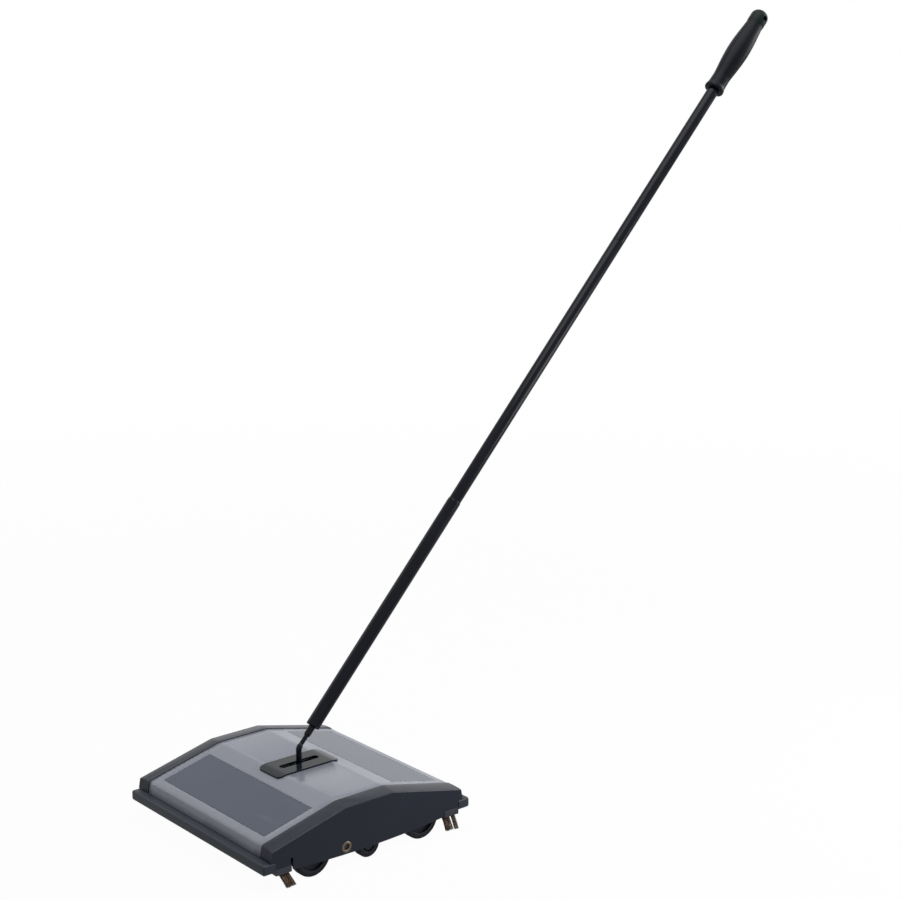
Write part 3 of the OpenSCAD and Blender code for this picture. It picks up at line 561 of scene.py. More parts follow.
roundY = shell["edgeHalf"] - cornerShare * (cos(slopeLean) - sin(skirtLean))
roundZ = shell["edgeHeight"] - cornerShare * (cos(skirtLean) - sin(slopeLean))
crownEnd = roundY + shell["edgeRound"] * sin(slopeLean)


# The crown's height at y, and how far it leans there
def crownAt(y):
    y = abs(y)
    if y <= bendY:
        return shell["crownHeight"], 0.0
    if y >= bendEnd:
        return shell["crownHeight"] - (y - shell["crownFlat"]) * tan(slopeLean), slopeLean
    lean = asin((y - bendY) / shell["bendRound"])
    return bendZ + shell["bendRound"] * cos(lean), lean


# A point (y, z) of the back half of the body's outline, moved inwards by inset
def shellPoint(kind, value, inset):
    if kind == "crown":
        z, lean = crownAt(value)
        return value - inset * sin(lean), z - inset * cos(lean)
    if kind == "edge":
        reach = shell["edgeRound"] - inset
        return roundY + reach * sin(value), roundZ + reach * cos(value)
    if kind == "foot":
        z = shell["footHeight"] + inset
        return shell["edgeHalf"] - inset / cos(skirtLean) + (shell["edgeHeight"] - z) * skirtTan, z
    if kind == "seat":
        return shell["seatHalf"] - inset, shell["footHeight"] + inset
    return shell["seatHalf"] - inset, shell["seatLow"]


# Stations from one crown mark to the next, no more than gap apart and closer in the bends
bendGap = 0.8


def crownStations(marks, gap=3.0):
    ys = []
    for first, second in zip(marks, marks[1:]):
        inBend = bendY < abs(first + second) / 2 < bendEnd
        count = max(1, ceil((second - first) / (bendGap if inBend else gap)))
        ys += [first + (second - first) * i / count for i in range(count)]
    return [(1 if y >= 0 else -1, "crown", abs(y)) for y in ys + [marks[-1]]]


# A curved sheet made of cells; level gives how deep a cell's top lies, or None where it is open
def sheetMesh(name, columns, stations, thickness, level):
    points, known, faces = [], {}, []

    def corner(i, j, inset):
        key = (i, j, inset)
        if key not in known:
            side, kind, value = stations[i]
            y, z = shellPoint(kind, value, inset)
            known[key] = len(points)
            points.append((columns[j], side * y, z))
        return known[key]

    def middle(i):
        sideA, kindA, valueA = stations[i]
        sideB, kindB, valueB = stations[i + 1]
        return (sideA * shellPoint(kindA, valueA, 0)[0] + sideB * shellPoint(kindB, valueB, 0)[0]) / 2

    def top(i, j):
        if not (0 <= i < len(stations) - 1 and 0 <= j < len(columns) - 1):
            return None
        return level((columns[j] + columns[j + 1]) / 2, middle(i))

    for i in range(len(stations) - 1):
        for j in range(len(columns) - 1):
            here = top(i, j)
            if here is None:
                continue
            ring = [(i, j), (i, j + 1), (i + 1, j + 1), (i + 1, j)]
            faces.append([corner(a, b, here) for a, b in ring])
            faces.append([corner(a, b, thickness) for a, b in reversed(ring)])
            for k, (di, dj) in enumerate([(-1, 0), (0, 1), (1, 0), (0, -1)]):
                beyond = top(i + di, j + dj)
                floor = thickness if beyond is None else beyond
                if here < floor:
                    a, b = ring[k], ring[(k + 1) % 4]
                    faces.append([corner(*a, here), corner(*b, here), corner(*b, floor), corner(*a, floor)])
    return meshFrom(name, points, faces)


coverLook = {
    "windowHalf": 94.0, "ledge": 2.5, "ledgeDepth": 1.2, "windowNear": 51.8, "windowFar": 110.3,
    "holeHalfWidth": 6.1, "holeHalfLength": 27.8, "edgeSoftness": 0.4, "edgeSteps": 8, "bossY": 92.0,
    "bossSize": 8.0, "bossGap": 0.05, "bossSink": 1.1, "bossSoftness": 0.5, "screwDrop": 9.0}


def coverLevel(x, y):
    x, y = abs(x), abs(y)
    look = coverLook
    if x < look["holeHalfWidth"] and y < look["holeHalfLength"]:
        return None
    if x < look["windowHalf"] and look["windowNear"] < y < look["windowFar"]:
        ledge = look["ledge"]
        inside = x < look["windowHalf"] - ledge and look["windowNear"] + ledge < y < look["windowFar"] - ledge
        return None if inside else look["ledgeDepth"]
    return 0.0


# A screw's boss under the crown, against the wall of one end cap
def bossMesh(x, y):
    look = coverLook
    size = look["bossSize"]
    sides = (x * (shell["wallHalf"] - look["bossGap"]), x * (shell["wallHalf"] - size))
    low = crownAt(y)[0] - look["screwDrop"] - size / 2
    points = [(a, b, c) for a in sides for b in (y - size / 2, y + size / 2)
              for c in (low, crownAt(b)[0] - look["bossSink"])]
    boss = newPiece("boss", meshFrom("boss", points, boxFaces))
    softenEdges(boss, look["bossSoftness"], 2)
    mesh = boss.data
    bpy.data.objects.remove(boss)
    return mesh


def buildCover():
    look = coverLook
    ledge = look["ledge"]
    half = sorted([0.0, look["holeHalfLength"], bendY, bendEnd, look["windowNear"], look["windowNear"] + ledge,
                   look["windowFar"] - ledge, look["windowFar"], crownEnd])
    steps = look["edgeSteps"]
    edgeTurn = pi / 2 - skirtLean - slopeLean
    tail = [("edge", slopeLean + edgeTurn * (i + 1) / steps) for i in range(steps)]
    tail += [("foot", 0), ("seat", 0), ("hem", 0)]
    stations = [(-1, *mark) for mark in reversed(tail)]
    stations += crownStations([-y for y in reversed(half[1:])] + half)
    stations += [(1, *mark) for mark in tail]
    xs = [look["holeHalfWidth"], look["windowHalf"] - ledge, look["windowHalf"], shell["wallHalf"]]
    columns = [-x for x in reversed(xs)] + xs
    cover = newPiece("cover_sheet", sheetMesh("coverSheet", columns, stations, shell["thickness"], coverLevel))
    softenEdges(cover, look["edgeSoftness"], 3)
    bosses = [bossMesh(x, y) for x in (-1, 1) for y in (-look["bossY"], look["bossY"])]
    cover.data = joined("coverSheet", [cover.data] + bosses)
    sharpenCreases(cover, 40)
    finishPiece(cover, coverPaint, "top_cover")


windowSize = {"half": 93.8, "near": 52.0, "far": 110.1, "thickness": 1.15, "edgeSoftness": 0.35}


def buildWindow(name, side, nodeName):
    size = windowSize
    marks = [size["near"], size["far"]] if side > 0 else [-size["far"], -size["near"]]
    stations = crownStations(marks, 2.5)
    mesh = sheetMesh(name, [-size["half"], size["half"]], stations, size["thickness"], lambda x, y: 0.0)
    window = newPiece(name, mesh)
    softenEdges(window, size["edgeSoftness"], 3)
    finishPiece(window, windowSmoke, nodeName)


buildCover()
buildWindow("front_smoked_window", -1, "front_window")
buildWindow("rear_smoked_window", 1, "rear_window")
print("cover and windows built")

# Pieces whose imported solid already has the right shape: (slot, material, softened edge, nodes)
corners = [(row, end) for row in ("front", "rear") for end in ("left", "right")]
dressedPieces = [
    ("cap_plastic", capPlastic, 0.45, ["left_end_cap", "right_end_cap"]),
    ("cap_plastic", platePlastic, 0.5, ["slot_plate"]),
    ("steel", darkSteel, 0.25, ["handle_bracket"]),
    ("steel", zincSteel, 0.2, ["wheel_axles"]),
    ("nylon", nylon, 0.25, ["brush_bushes"]),
    ("steel", zincSteel, 0.3, ["front_pan_rod", "rear_pan_rod"]),
    ("steel", darkSteel, 0.35, [f"{row}_{end}_tuft_holder" for row, end in corners]),
    ("steel", darkSteel, 0.25, ["pivot_pin"]),
    ("spring_steel", springSteel, 0.2, ["friction_washers"]),
    ("cap_end", capEndPlastic, 0.5, ["grip_cap"]),
    ("steel", darkSteel, 0.3, ["front_brush_shaft", "rear_brush_shaft"]),
    ("brush_wood", coreWood, 0.5, ["front_brush_core", "rear_brush_core"]),
    ("wheel_rubber", tyreRubber, 0.8, ["front_brush_drums", "rear_brush_drums"]),
    ("pan_plastic", panPlastic, 0.35, ["front_pan", "rear_pan"]),
]
for slotName, material, softness, nodes in dressedPieces:
    for nodeName in nodes:
        finishPiece(dressNode(nodeName + "_dressed", nodeName, softness), material, nodeName)
print("dressed pieces ready")

# Wheels
wheelLook = {"width": 10.0, "tyreDepth": 4.0, "shoulder": 1.6, "rim": 0.2, "hubSoftness": 0.4}


def buildWheel(name):
    nodeName, look = name + "_tyre", wheelLook
    low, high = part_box(nodeName)
    centre = centreOf(nodeName)
    radius = (high.z - low.z) / 2 / mm
    half, inner = look["width"] / 2, radius - look["tyreDepth"]
    outline = [(inner, -half), (radius, -half), (radius, half), (inner, half)]
    profile = roundCorners(outline, [look["rim"], look["shoulder"], look["shoulder"], look["rim"]])
    place = Matrix.Translation((centre.x, 0, 0)) @ alongX(centre.y, centre.z)
    tyre = turned(nodeName, profile, place, 72, closed=True)
    addPiece(name + "_rubber_tyre", tyre, 38, tyreRubber, nodeName)
    hub = dressNode(name + "_hub_dressed", name + "_hub", look["hubSoftness"])
    finishPiece(hub, hubPlastic, name + "_hub")


for row in ("front", "mid", "rear"):
    for end in ("left", "right"):
        buildWheel(row + "_" + end)
print("wheels built")

# Bumpers
bumperShape = {
    "half": 124.0, "seat": 118.0, "out": 132.5, "low": 19.2, "high": 30.2, "endRound": 2.0, "noseRound": 2.4,
    "seatSoftness": 0.5, "near": 1e-6, "creased": 1.0}


def buildBumper(name, side, nodeName):
    shape = bumperShape
    block = bmesh.new()
    points = [block.verts.new(inMetres((x * shape["half"], side * y, z)))
              for x in (-1, 1) for y in (shape["seat"], shape["out"]) for z in (shape["low"], shape["high"])]
    for face in boxFaces:
        block.faces.new([points[k] for k in face])

    def liesAt(edge, key):
        return all(abs(v.co.y - side * shape[key] * mm) < shape["near"] for v in edge.verts)

    def isUpright(edge):
        return abs(edge.verts[0].co.z - edge.verts[1].co.z) > shape["near"]

    def bevelEdges(edges, key, segments):
        bmesh.ops.bevel(block, geom=edges, offset=shape[key] * mm, segments=segments, profile=0.5,
                        affect="EDGES")

    bevelEdges([e for e in block.edges if liesAt(e, "out") and isUpright(e)], "endRound", 8)
    rims = [e for e in block.edges
            if not isUpright(e) and not liesAt(e, "seat") and e.calc_face_angle(0) > shape["creased"]]
    bevelEdges(rims, "noseRound", 6)
    bmesh.ops.recalc_face_normals(block, faces=block.faces)
    bumper = newPiece(name, smoothMesh(name, block))
    softenEdges(bumper, shape["seatSoftness"], 2, 60)
    finishPiece(bumper, bumperRubber, nodeName)


buildBumper("front_rubber_bumper", -1, "front_bumper")
buildBumper("rear_rubber_bumper", 1, "rear_bumper")
print("bumpers built")

# Brass eyelets where one end of each brush shaft shows; profile is (radius, distance out of the panel)
eyeletShape = {"panel": 123.4, "profile": [
    (3.05, -4.1), (4.15, -4.1), (4.15, -0.02), (5.9, -0.02), (6.0, 0.2), (5.65, 0.52), (5.05, 0.77), (4.7, 0.8),
    (3.8, 0.66), (3.3, 0.35), (3.05, -0.3)]}


def buildEyelet(name, end, nodeName):
    centre = centreOf(nodeName)
    profile = [(r, end * (eyeletShape["panel"] + out)) for r, out in eyeletShape["profile"]]
    eyelet = turned(name, profile, alongX(centre.y, centre.z), 64, closed=True)
    addPiece(name, eyelet, 50, eyeletBrass, nodeName)


buildEyelet("front_eyelet_ring", 1, "front_brush_eyelet")
buildEyelet("rear_eyelet_ring", -1, "rear_brush_eyelet")

# The handle: everything above the bend is built along Z and then leaned back. rodMarks are points of the rod:
# two above the pivot, one below the bend and two above it.
handleShape = {
    "pivotHeight": 44.0, "bendHeight": 82.0, "lean": 42.7, "postRadius": 3.1, "barRadius": 2.4,
    "bendRadius": 6.0, "bendSteps": 9, "shoulderAt": 0.2, "shoulderLength": 1.6, "shoulderSteps": 6,
    "eyeRadius": 5.5, "eyeWidth": 10.0, "eyeRound": 1.2, "boreRound": 0.3, "pinRadius": 2.5, "slip": 0.02,
    "rodMarks": (3.4, 12.0, 8.0, 8.0, 14.0), "tipChamfer": 0.5, "tubeStart": 27.0, "jointOne": 320.0,
    "jointTwo": 685.0, "tubeEnd": 1007.0, "lowerRadius": 7.6, "upperRadius": 7.0, "wall": 0.9,
    "noseLength": 12.0, "noseRadius": 3.7, "noseTaper": 0.5, "noseTaperLength": 2.5, "noseLap": 0.4,
    "plugLength": 26.0, "plugInset": 0.5, "plugGap": 0.03, "boreTips": 0.15, "curl": 0.45, "jointGap": 0.05,
    "crimp": ((0.0, 3.2), (0.06, 1.2), (0.2, 0.0)), "spigotLength": 30.0, "spigotProud": 0.9}
lean = radians(handleShape["lean"])
onHandle = Matrix.Translation((0, 0, handleShape["bendHeight"])) @ Matrix.Rotation(-lean, 4, "X")


def buildHandleRod():
    shape = handleShape
    half, bore, post = shape["eyeWidth"] / 2, shape["pinRadius"] + shape["slip"], shape["postRadius"]
    ring = roundCorners([(bore, -half), (shape["eyeRadius"], -half), (shape["eyeRadius"], half), (bore, half)],
                        [shape["boreRound"], shape["eyeRound"], shape["eyeRound"], shape["boreRound"]])
    eye = turned("eye", ring, alongX(0, shape["pivotHeight"]), 48, closed=True)
    reach = shape["bendRadius"] * tan(lean / 2)
    marks, pivot, bend = shape["rodMarks"], shape["pivotHeight"], shape["bendHeight"]
    path = [(0, 0, z) for z in (pivot + marks[0], pivot + marks[1], bend - reach - marks[2])]
    radii = [post] * 3
    centre = Vector((0, shape["bendRadius"], bend - reach))
    for i in range(shape["bendSteps"] + 1):
        angle = lean * i / shape["bendSteps"]
        path.append(centre + Vector((0, -cos(angle), sin(angle))) * shape["bendRadius"])
        radii.append(post)
    # The post's rounded shoulder, then the thinner rod up into the tube
    for i in range(1, shape["shoulderSteps"] + 1):
        t = i / shape["shoulderSteps"]
        path.append(onHandle @ Vector((0, 0, reach + shape["shoulderAt"] + shape["shoulderLength"] * t)))
        radii.append(post - (post - shape["barRadius"]) * (1 - cos(t * pi / 2)))
    end = shape["tubeStart"] + shape["plugLength"]
    chamfer = shape["tipChamfer"]
    path += [onHandle @ Vector((0, 0, along)) for along in (marks[3], marks[4], end - chamfer, end)]
    radii += [shape["barRadius"]] * 3 + [shape["barRadius"] - chamfer]
    rod = joined("bentRod", [eye, swept("rod", path, radii, 28)])
    addPiece("bent_handle_rod", rod, 45, blackPaint, "handle_rod")


# A hollow turned piece of the handle; sections are (radius, along) and tips rounds their corners
def sleeve(name, sections, bore, steps=56, tips=0.35):
    outline = [(bore, sections[0][1])] + sections + [(bore, sections[-1][1])]
    radii = [handleShape["boreTips"]] + [tips] * len(sections) + [handleShape["boreTips"]]
    return turned(name, roundCorners(outline, radii, 4), onHandle, steps, closed=True)


def plainTube(name, radius, start, end):
    return sleeve(name, [(radius, start), (radius, end)], radius - handleShape["wall"], 56, handleShape["curl"])


# The spigot of the next tube, which sits in a tube of the given radius below the joint
def spigot(radius, joint):
    shape = handleShape
    outer = radius - shape["wall"] - shape["jointGap"]
    sections = [(outer, joint - shape["spigotLength"]), (outer, joint + shape["spigotProud"])]
    return sleeve("spigot", sections, radius - 2 * shape["wall"])


def buildTubes():
    shape = handleShape
    lower, upper, wall, gap = shape["lowerRadius"], shape["upperRadius"], shape["wall"], shape["jointGap"]
    one, two, start = shape["jointOne"], shape["jointTwo"], shape["tubeStart"]
    nose, noseStart = shape["noseRadius"], start - shape["noseLength"]
    plug, bore = lower - wall - shape["plugGap"], shape["barRadius"] + shape["slip"]
    ferrule = joined("ferrule", [
        sleeve("nose", [(nose - shape["noseTaper"], noseStart), (nose, noseStart + shape["noseTaperLength"]),
                        (nose, start + shape["noseLap"])], bore, 40, 0.4),
        sleeve("plug", [(plug, start + shape[key]) for key in ("plugInset", "plugLength")], bore, 48, 0.5)])
    crimped = [(lower, start)] + [(lower - inwards, one - below) for inwards, below in shape["crimp"]]
    bottom = sleeve("lowerTube", crimped, lower - wall, 56, shape["curl"])
    middle = joined("middleTube", [plainTube("middle", upper, one + gap, two - gap), spigot(lower, one)])
    top = joined("upperTube", [plainTube("upper", upper, two + gap, shape["tubeEnd"]), spigot(upper, two)])
    for name, mesh, nodeName in [
            ("tube_ferrule", ferrule, "ferrule"), ("lower_handle_tube", bottom, "lower_tube"),
            ("middle_handle_tube", middle, "middle_tube"), ("upper_handle_tube", top, "upper_tube")]:
        addPiece(name, mesh, 45, blackPaint, nodeName)


# The grip's flange is a list of (radius, along); neck, belly and upperNeck are diameters
gripShape = {
    "start": 916.0, "length": 103.0, "neck": 21.0, "belly": 26.8, "upperNeck": 21.0, "neckAt": 20.0,
    "swellPower": 1.25, "bore": 7.02, "steps": 40, "flange": [
        (10.9, 0.0), (11.5, 0.25), (11.88, 0.9), (12.0, 1.8), (11.98, 3.0), (11.82, 4.0), (11.5, 5.0),
        (11.15, 6.2), (10.9, 8.0), (10.72, 10.5), (10.6, 14.0), (10.52, 17.5)]}


def buildGrip():
    shape = gripShape
    neck, upperNeck, steps = shape["neck"], shape["upperNeck"], shape["steps"]
    outline = [(shape["bore"], 0.0)] + shape["flange"]
    for i in range(steps + 1):
        t = i / steps
        swell = (shape["belly"] - (neck + upperNeck) / 2) * sin(pi * t) ** shape["swellPower"]
        radius = (neck + (upperNeck - neck) * t + swell) / 2
        outline.append((radius, shape["neckAt"] + (shape["length"] - shape["neckAt"]) * t))
    outline.append((shape["bore"], shape["length"]))
    profile = [(r, shape["start"] + along) for r, along in outline]
    grip = turned("grip", profile, onHandle, 72, closed=True)
    addPiece("moulded_grip", grip, 40, gripPlastic, "grip")


buildHandleRod()
buildTubes()
buildGrip()
print("handle built")


# Geometry trees for the bristles, springs and screws

def startTree(name, **inputs):
    return newTree(name, "GeometryNodeTree", {"Geometry": ["Geometry"]}, inputs)


def finishTree(tree, out, geometry, material):
    realized = place(tree, "GeometryNodeRealizeInstances", {0: geometry})
    dressed = place(tree, "GeometryNodeSetMaterial", {"Geometry": realized, "Material": material})
    return closeTree(tree, out, Geometry=dressed.outputs[0])


def randomIn(low, high, seed):
    inputs = {2: low, 3: high, 8: seed}
    return place(seed.id_data, "FunctionNodeRandomValue", inputs, data_type="FLOAT").outputs[1]


def stored(tree, name, kind):
    return place(tree, "GeometryNodeInputNamedAttribute", {"Name": name}, data_type=kind).outputs[0]


strandShape = {"shortest": 0.955, "longest": 0.995, "rooted": 0.0003, "stray": 0.16}


# Stands one tapered bristle on each point, from root to tip
def standBristles(tree, count, root, tip, thickness, seed, sides=4, segments=3):
    cone = place(tree, "GeometryNodeMeshCone", {
        "Vertices": sides, "Side Segments": segments, "Radius Top": 0.5, "Radius Bottom": 1.0, "Depth": 1.0})
    height = heightOf(place(tree, "GeometryNodeInputPosition"))
    marked = place(tree, "GeometryNodeStoreNamedAttribute", {
        "Geometry": cone, "Name": "along", "Value": height}, data_type="FLOAT", domain="POINT")
    line = place(tree, "GeometryNodeMeshLine", {"Count": count})
    roots = place(tree, "GeometryNodeSetPosition", {"Geometry": line, "Position": root})
    run = vecCalc("SUBTRACT", tip, root)
    length = vecCalc("LENGTH", run, out="Value")
    aimed = place(tree, "FunctionNodeAlignRotationToVector", {"Vector": run}, axis="Z")
    standing = place(tree, "GeometryNodeInstanceOnPoints", {
        "Points": roots, "Instance": marked, "Rotation": aimed,
        "Scale": combine(thickness, thickness, length)})
    return place(tree, "GeometryNodeStoreNamedAttribute", {
        "Geometry": standing, "Name": "strand", "Value": randomIn(0.0, 1.0, seed)},
        data_type="FLOAT", domain="INSTANCE")


def makeRollTree():
    tree, given, out = startTree(
        "brushRollTufts", Vector=["Centre"], Int=["Rows", "Tufts in a row", "Bristles in a tuft", "Seed"],
        Float=["Length", "Core radius", "Tip radius", "Tuft radius", "Splay", "Twist", "Thickness"],
        Material=["Material"])
    index = place(tree, "GeometryNodeInputIndex").outputs[0]
    perTuft, seed = given["Bristles in a tuft"], given["Seed"]
    perRow = times(given["Tufts in a row"], perTuft)
    row = calc("FLOOR", over(index, perRow))
    tuft = calc("FLOOR", over(calc("MODULO", index, perRow), perTuft))
    share = minus(over(plus(tuft, 0.5), given["Tufts in a row"]), 0.5)
    x = times(share, given["Length"])
    turns = calc("MULTIPLY_ADD", share, given["Twist"], over(row, given["Rows"]))
    angle = times(turns, 2 * pi)
    spin = randomIn(0.0, 2 * pi, seed)
    away = calc("SQRT", randomIn(0.0, 1.0, plus(seed, 1)))
    spread = times(away, given["Tuft radius"])
    dx, dt = [times(calc(wave, spin), spread) for wave in ("COSINE", "SINE")]

    def ringPoint(radius, widen):
        turn = plus(angle, over(times(dt, widen), radius))
        y, z = [times(calc(wave, turn), radius) for wave in ("SINE", "COSINE")]
        point = combine(calc("MULTIPLY_ADD", dx, widen, x), y, z)
        return vecCalc("ADD", point, given["Centre"])

    reach = randomIn(strandShape["shortest"], strandShape["longest"], plus(seed, 2))
    root = ringPoint(minus(given["Core radius"], strandShape["rooted"]), 1.0)
    tip = ringPoint(times(given["Tip radius"], reach), given["Splay"])
    count = times(perRow, given["Rows"])
    bristles = standBristles(tree, count, root, tip, given["Thickness"], seed, 3, 1)
    return finishTree(tree, out, bristles, given["Material"])


def makeFanTree():
    tree, given, out = startTree(
        "cornerFan", Vector=["Root", "Foot", "Root size", "Foot size"], Int=["Bristles", "Seed"],
        Float=["Thickness", "Ragged", "Bow"], Material=["Material"])
    seed, stray = given["Seed"], strandShape["stray"]

    def spreadBy(offset):
        return randomIn(-0.5, 0.5, plus(seed, offset))

    def spreadOver(end, u, v):
        offset = vecCalc("MULTIPLY", combine(u, v), given[end + " size"])
        return vecCalc("ADD", given[end], offset)

    spots = [spreadBy(0), spreadBy(1)]
    strayed = [calc("MULTIPLY_ADD", spreadBy(2 + k), stray, times(spot, 1 - stray))
               for k, spot in enumerate(spots)]
    lift = times(randomIn(0.0, 1.0, plus(seed, 4)), given["Ragged"])
    foot = vecCalc("ADD", spreadOver("Foot", *strayed), combine(z=lift))
    root = spreadOver("Root", *spots)
    bristles = standBristles(tree, given["Bristles"], root, foot, given["Thickness"], seed)
    loose = place(tree, "GeometryNodeRealizeInstances", {0: bristles})
    along = stored(tree, "along", "FLOAT")
    hump = times(times(along, minus(1.0, along)), 4.0)
    bowed = place(tree, "GeometryNodeSetPosition", {
        "Geometry": loose, "Offset": combine(times(hump, given["Bow"]))})
    return finishTree(tree, out, bowed, given["Material"])


def makeSpringTree():
    tree, given, out = startTree(
        "torsionSpring", Vector=["Centre", "Leg end"], Float=["Coil radius", "Wire", "Turns", "Length"],
        Material=["Material"])
    coil = place(tree, "GeometryNodeCurveSpiral", {
        "Resolution": 22, "Rotations": given["Turns"], "Start Radius": given["Coil radius"],
        "End Radius": given["Coil radius"], "Height": given["Length"]})
    laid = place(tree, "GeometryNodeTransform", {
        "Geometry": coil, "Rotation": (0.0, pi / 2, 0.0), "Translation": given["Centre"]})
    start = vecCalc("ADD", given["Centre"], combine(z=given["Coil radius"]))
    leg = place(tree, "GeometryNodeCurvePrimitiveLine", {"Start": start, "End": given["Leg end"]})
    wires = place(tree, "GeometryNodeJoinGeometry")
    for part in (laid, leg):
        tree.links.new(part.outputs[0], wires.inputs[0])
    section = place(tree, "GeometryNodeCurvePrimitiveCircle", {"Resolution": 10, "Radius": given["Wire"]})
    solid = place(tree, "GeometryNodeCurveToMesh", {
        "Curve": wires, "Profile Curve": section, "Fill Caps": True})
    return finishTree(tree, out, solid, given["Material"])


def makeScrewTree():
    tree, given, out = startTree("screwSet", Geometry=["Geometry"], Object=["Screw"], Material=["Material"])
    aim = stored(tree, "aim", "FLOAT_VECTOR")
    aimed = place(tree, "FunctionNodeAlignRotationToVector", {"Vector": aim}, axis="Z")
    screw = place(tree, "GeometryNodeObjectInfo", {"Object": given["Screw"]})
    points = place(tree, "GeometryNodeMeshToPoints", {0: given["Geometry"]})
    placed = place(tree, "GeometryNodeInstanceOnPoints", {
        "Points": points, "Instance": screw.outputs["Geometry"], "Rotation": aimed})
    return finishTree(tree, out, placed, given["Material"])


# Runs a geometry tree on a new object and keeps the plain mesh
def growMesh(name, tree, values, base=None):
    grown = newPiece(name, base or bpy.data.meshes.new(name))
    modifier = grown.modifiers.new("grow", "NODES")
    modifier.node_group = tree
    sockets = {s.name: s.identifier for s in tree.interface.items_tree if s.in_out == "INPUT"}
    for key, value in values.items():
        modifier[sockets[key]] = value
    applyModifiers(grown)
    mesh = grown.data
    bpy.data.objects.remove(grown)
    return mesh


rollTree, fanTree, springTree, screwTree = makeRollTree(), makeFanTree(), makeSpringTree(), makeScrewTree()
rollShape = {
    "Core radius": 0.009, "Tip radius": 0.0203, "Rows": 4, "Tufts in a row": 31, "Bristles in a tuft": 30,
    "Tuft radius": 0.0018, "Splay": 1.7, "Twist": 0.5, "Thickness": 0.00018}
rollMargin = 2.0


def buildRoll(name, seed, nodeName):
    low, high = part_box(nodeName)
    mesh = growMesh(name, rollTree, {
        **rollShape, "Length": high.x - low.x - rollMargin * mm, "Centre": tuple((low + high) / 2),
        "Seed": seed, "Material": brownBristle})
    finishPiece(newPiece(name, mesh), brownBristle, nodeName)


buildRoll("front_roll_tufts", 11, "front_brush_bristles")
buildRoll("rear_roll_tufts", 12, "rear_brush_bristles")

# Corner tufts: two fans at each corner, as (outwards, along, root width, bristles)
fanShape = {
    "rootX": 116.4, "footX": 124.6, "rootDepth": 3.4, "splay": 1.3, "rootHeight": 16.0, "footHeight": 0.5,
    "cornerStart": 98.0, "cornerLength": 20.0, "thickness": 0.2, "ragged": 1.6, "bow": 0.7, "frontSweep": 5.0}
fanPlaces = {
    "front": [(0.0, 0.3, 0.35, 210), (0.9, 0.58, 0.18, 110)],
    "rear": [(0.0, 0.3, 0.4, 240), (2.0, 0.71, 0.2, 130)]}


def buildCornerTuft(row, end, seed):
    shape, name = fanShape, f"{row}_{end}_tuft"
    sx = 1 if end == "right" else -1
    sy, sweep = (1, 0.0) if row == "rear" else (-1, shape["frontSweep"])
    meshes = []
    for k, (outwards, at, wide, count) in enumerate(fanPlaces[row]):
        y = sy * (shape["cornerStart"] + at * shape["cornerLength"])
        size = (shape["rootDepth"], wide * shape["cornerLength"], 0.0)
        meshes.append(growMesh(name, fanTree, {
            "Root": inMetres((sx * (shape["rootX"] + outwards), y, shape["rootHeight"])),
            "Foot": inMetres((sx * (shape["footX"] + outwards), y + sweep, shape["footHeight"])),
            "Root size": inMetres(size), "Foot size": inMetres(side * shape["splay"] for side in size),
            "Bristles": count, "Thickness": shape["thickness"] * mm, "Ragged": shape["ragged"] * mm,
            "Bow": sx * shape["bow"] * mm, "Seed": seed + 20 * k, "Material": brownBristle}))
    finishPiece(newPiece(name + "_bristles", joined(name, meshes)), brownBristle, name)


for k, (row, end) in enumerate(corners):
    buildCornerTuft(row, end, 40 + 7 * k)
print("bristles grown")

springShape = {
    "coil": 2.9, "wire": 0.5, "turns": 9.0, "start": 58.0, "length": 12.0, "legY": 115.9, "legZ": 19.9}


def buildSprings(row, side):
    shape = springShape
    hinge = centreOf(row + "_pan_rod")
    meshes = []
    for start in (-shape["start"] - shape["length"], shape["start"]):
        meshes.append(growMesh("spring", springTree, {
            "Centre": inMetres((start, hinge.y, hinge.z)), "Coil radius": shape["coil"] * mm,
            "Wire": shape["wire"] * mm, "Turns": shape["turns"], "Length": shape["length"] * mm,
            "Leg end": inMetres((start, side * shape["legY"], shape["legZ"])), "Material": springSteel}))
    springs = joined("springs", meshes)
    addPiece(row + "_coiled_springs", springs, 60, springSteel, row + "_pan_springs")


buildSprings("front", -1)
buildSprings("rear", 1)

# Screws: a pan head with a cross recess, set on points that say where each one aims
screwShape = {
    "shank": 1.48, "head": 2.8, "headHeight": 1.6, "flat": 1.2, "chamfer": 0.35, "rim": 0.9, "point": 1.0,
    "tip": 0.3, "recess": 0.9, "blade": 0.55, "bladeLength": 1.7}


def screwMesh(length):
    shape = screwShape
    head, rise, chamfer, shank = shape["head"], shape["headHeight"], shape["chamfer"], shape["shank"]
    outline = [(0, -rise), (head - shape["flat"], -rise), (head - chamfer, -rise + chamfer),
               (head, -rise + shape["rim"]), (head, 0), (shank, 0), (shank, length - shape["point"]),
               (shape["tip"], length), (0, length)]
    screw = newPiece("screw", turned("screw", outline, Matrix.Identity(4), 24))
    across = (shape["bladeLength"], shape["blade"])
    for x, y in (across, across[::-1]):
        points = [(a * x, b * y, c) for a in (-1, 1) for b in (-1, 1)
                  for c in (-rise - 1, -rise + shape["recess"])]
        blade = newPiece("blade", meshFrom("blade", points, boxFaces))
        cut = screw.modifiers.new("recess", "BOOLEAN")
        cut.operation, cut.object, cut.solver = "DIFFERENCE", blade, "EXACT"
        applyModifiers(screw)
        bpy.data.objects.remove(blade)
    screw.data.shade_flat()
    screw.data.set_sharp_from_angle(angle=radians(30))
    return screw


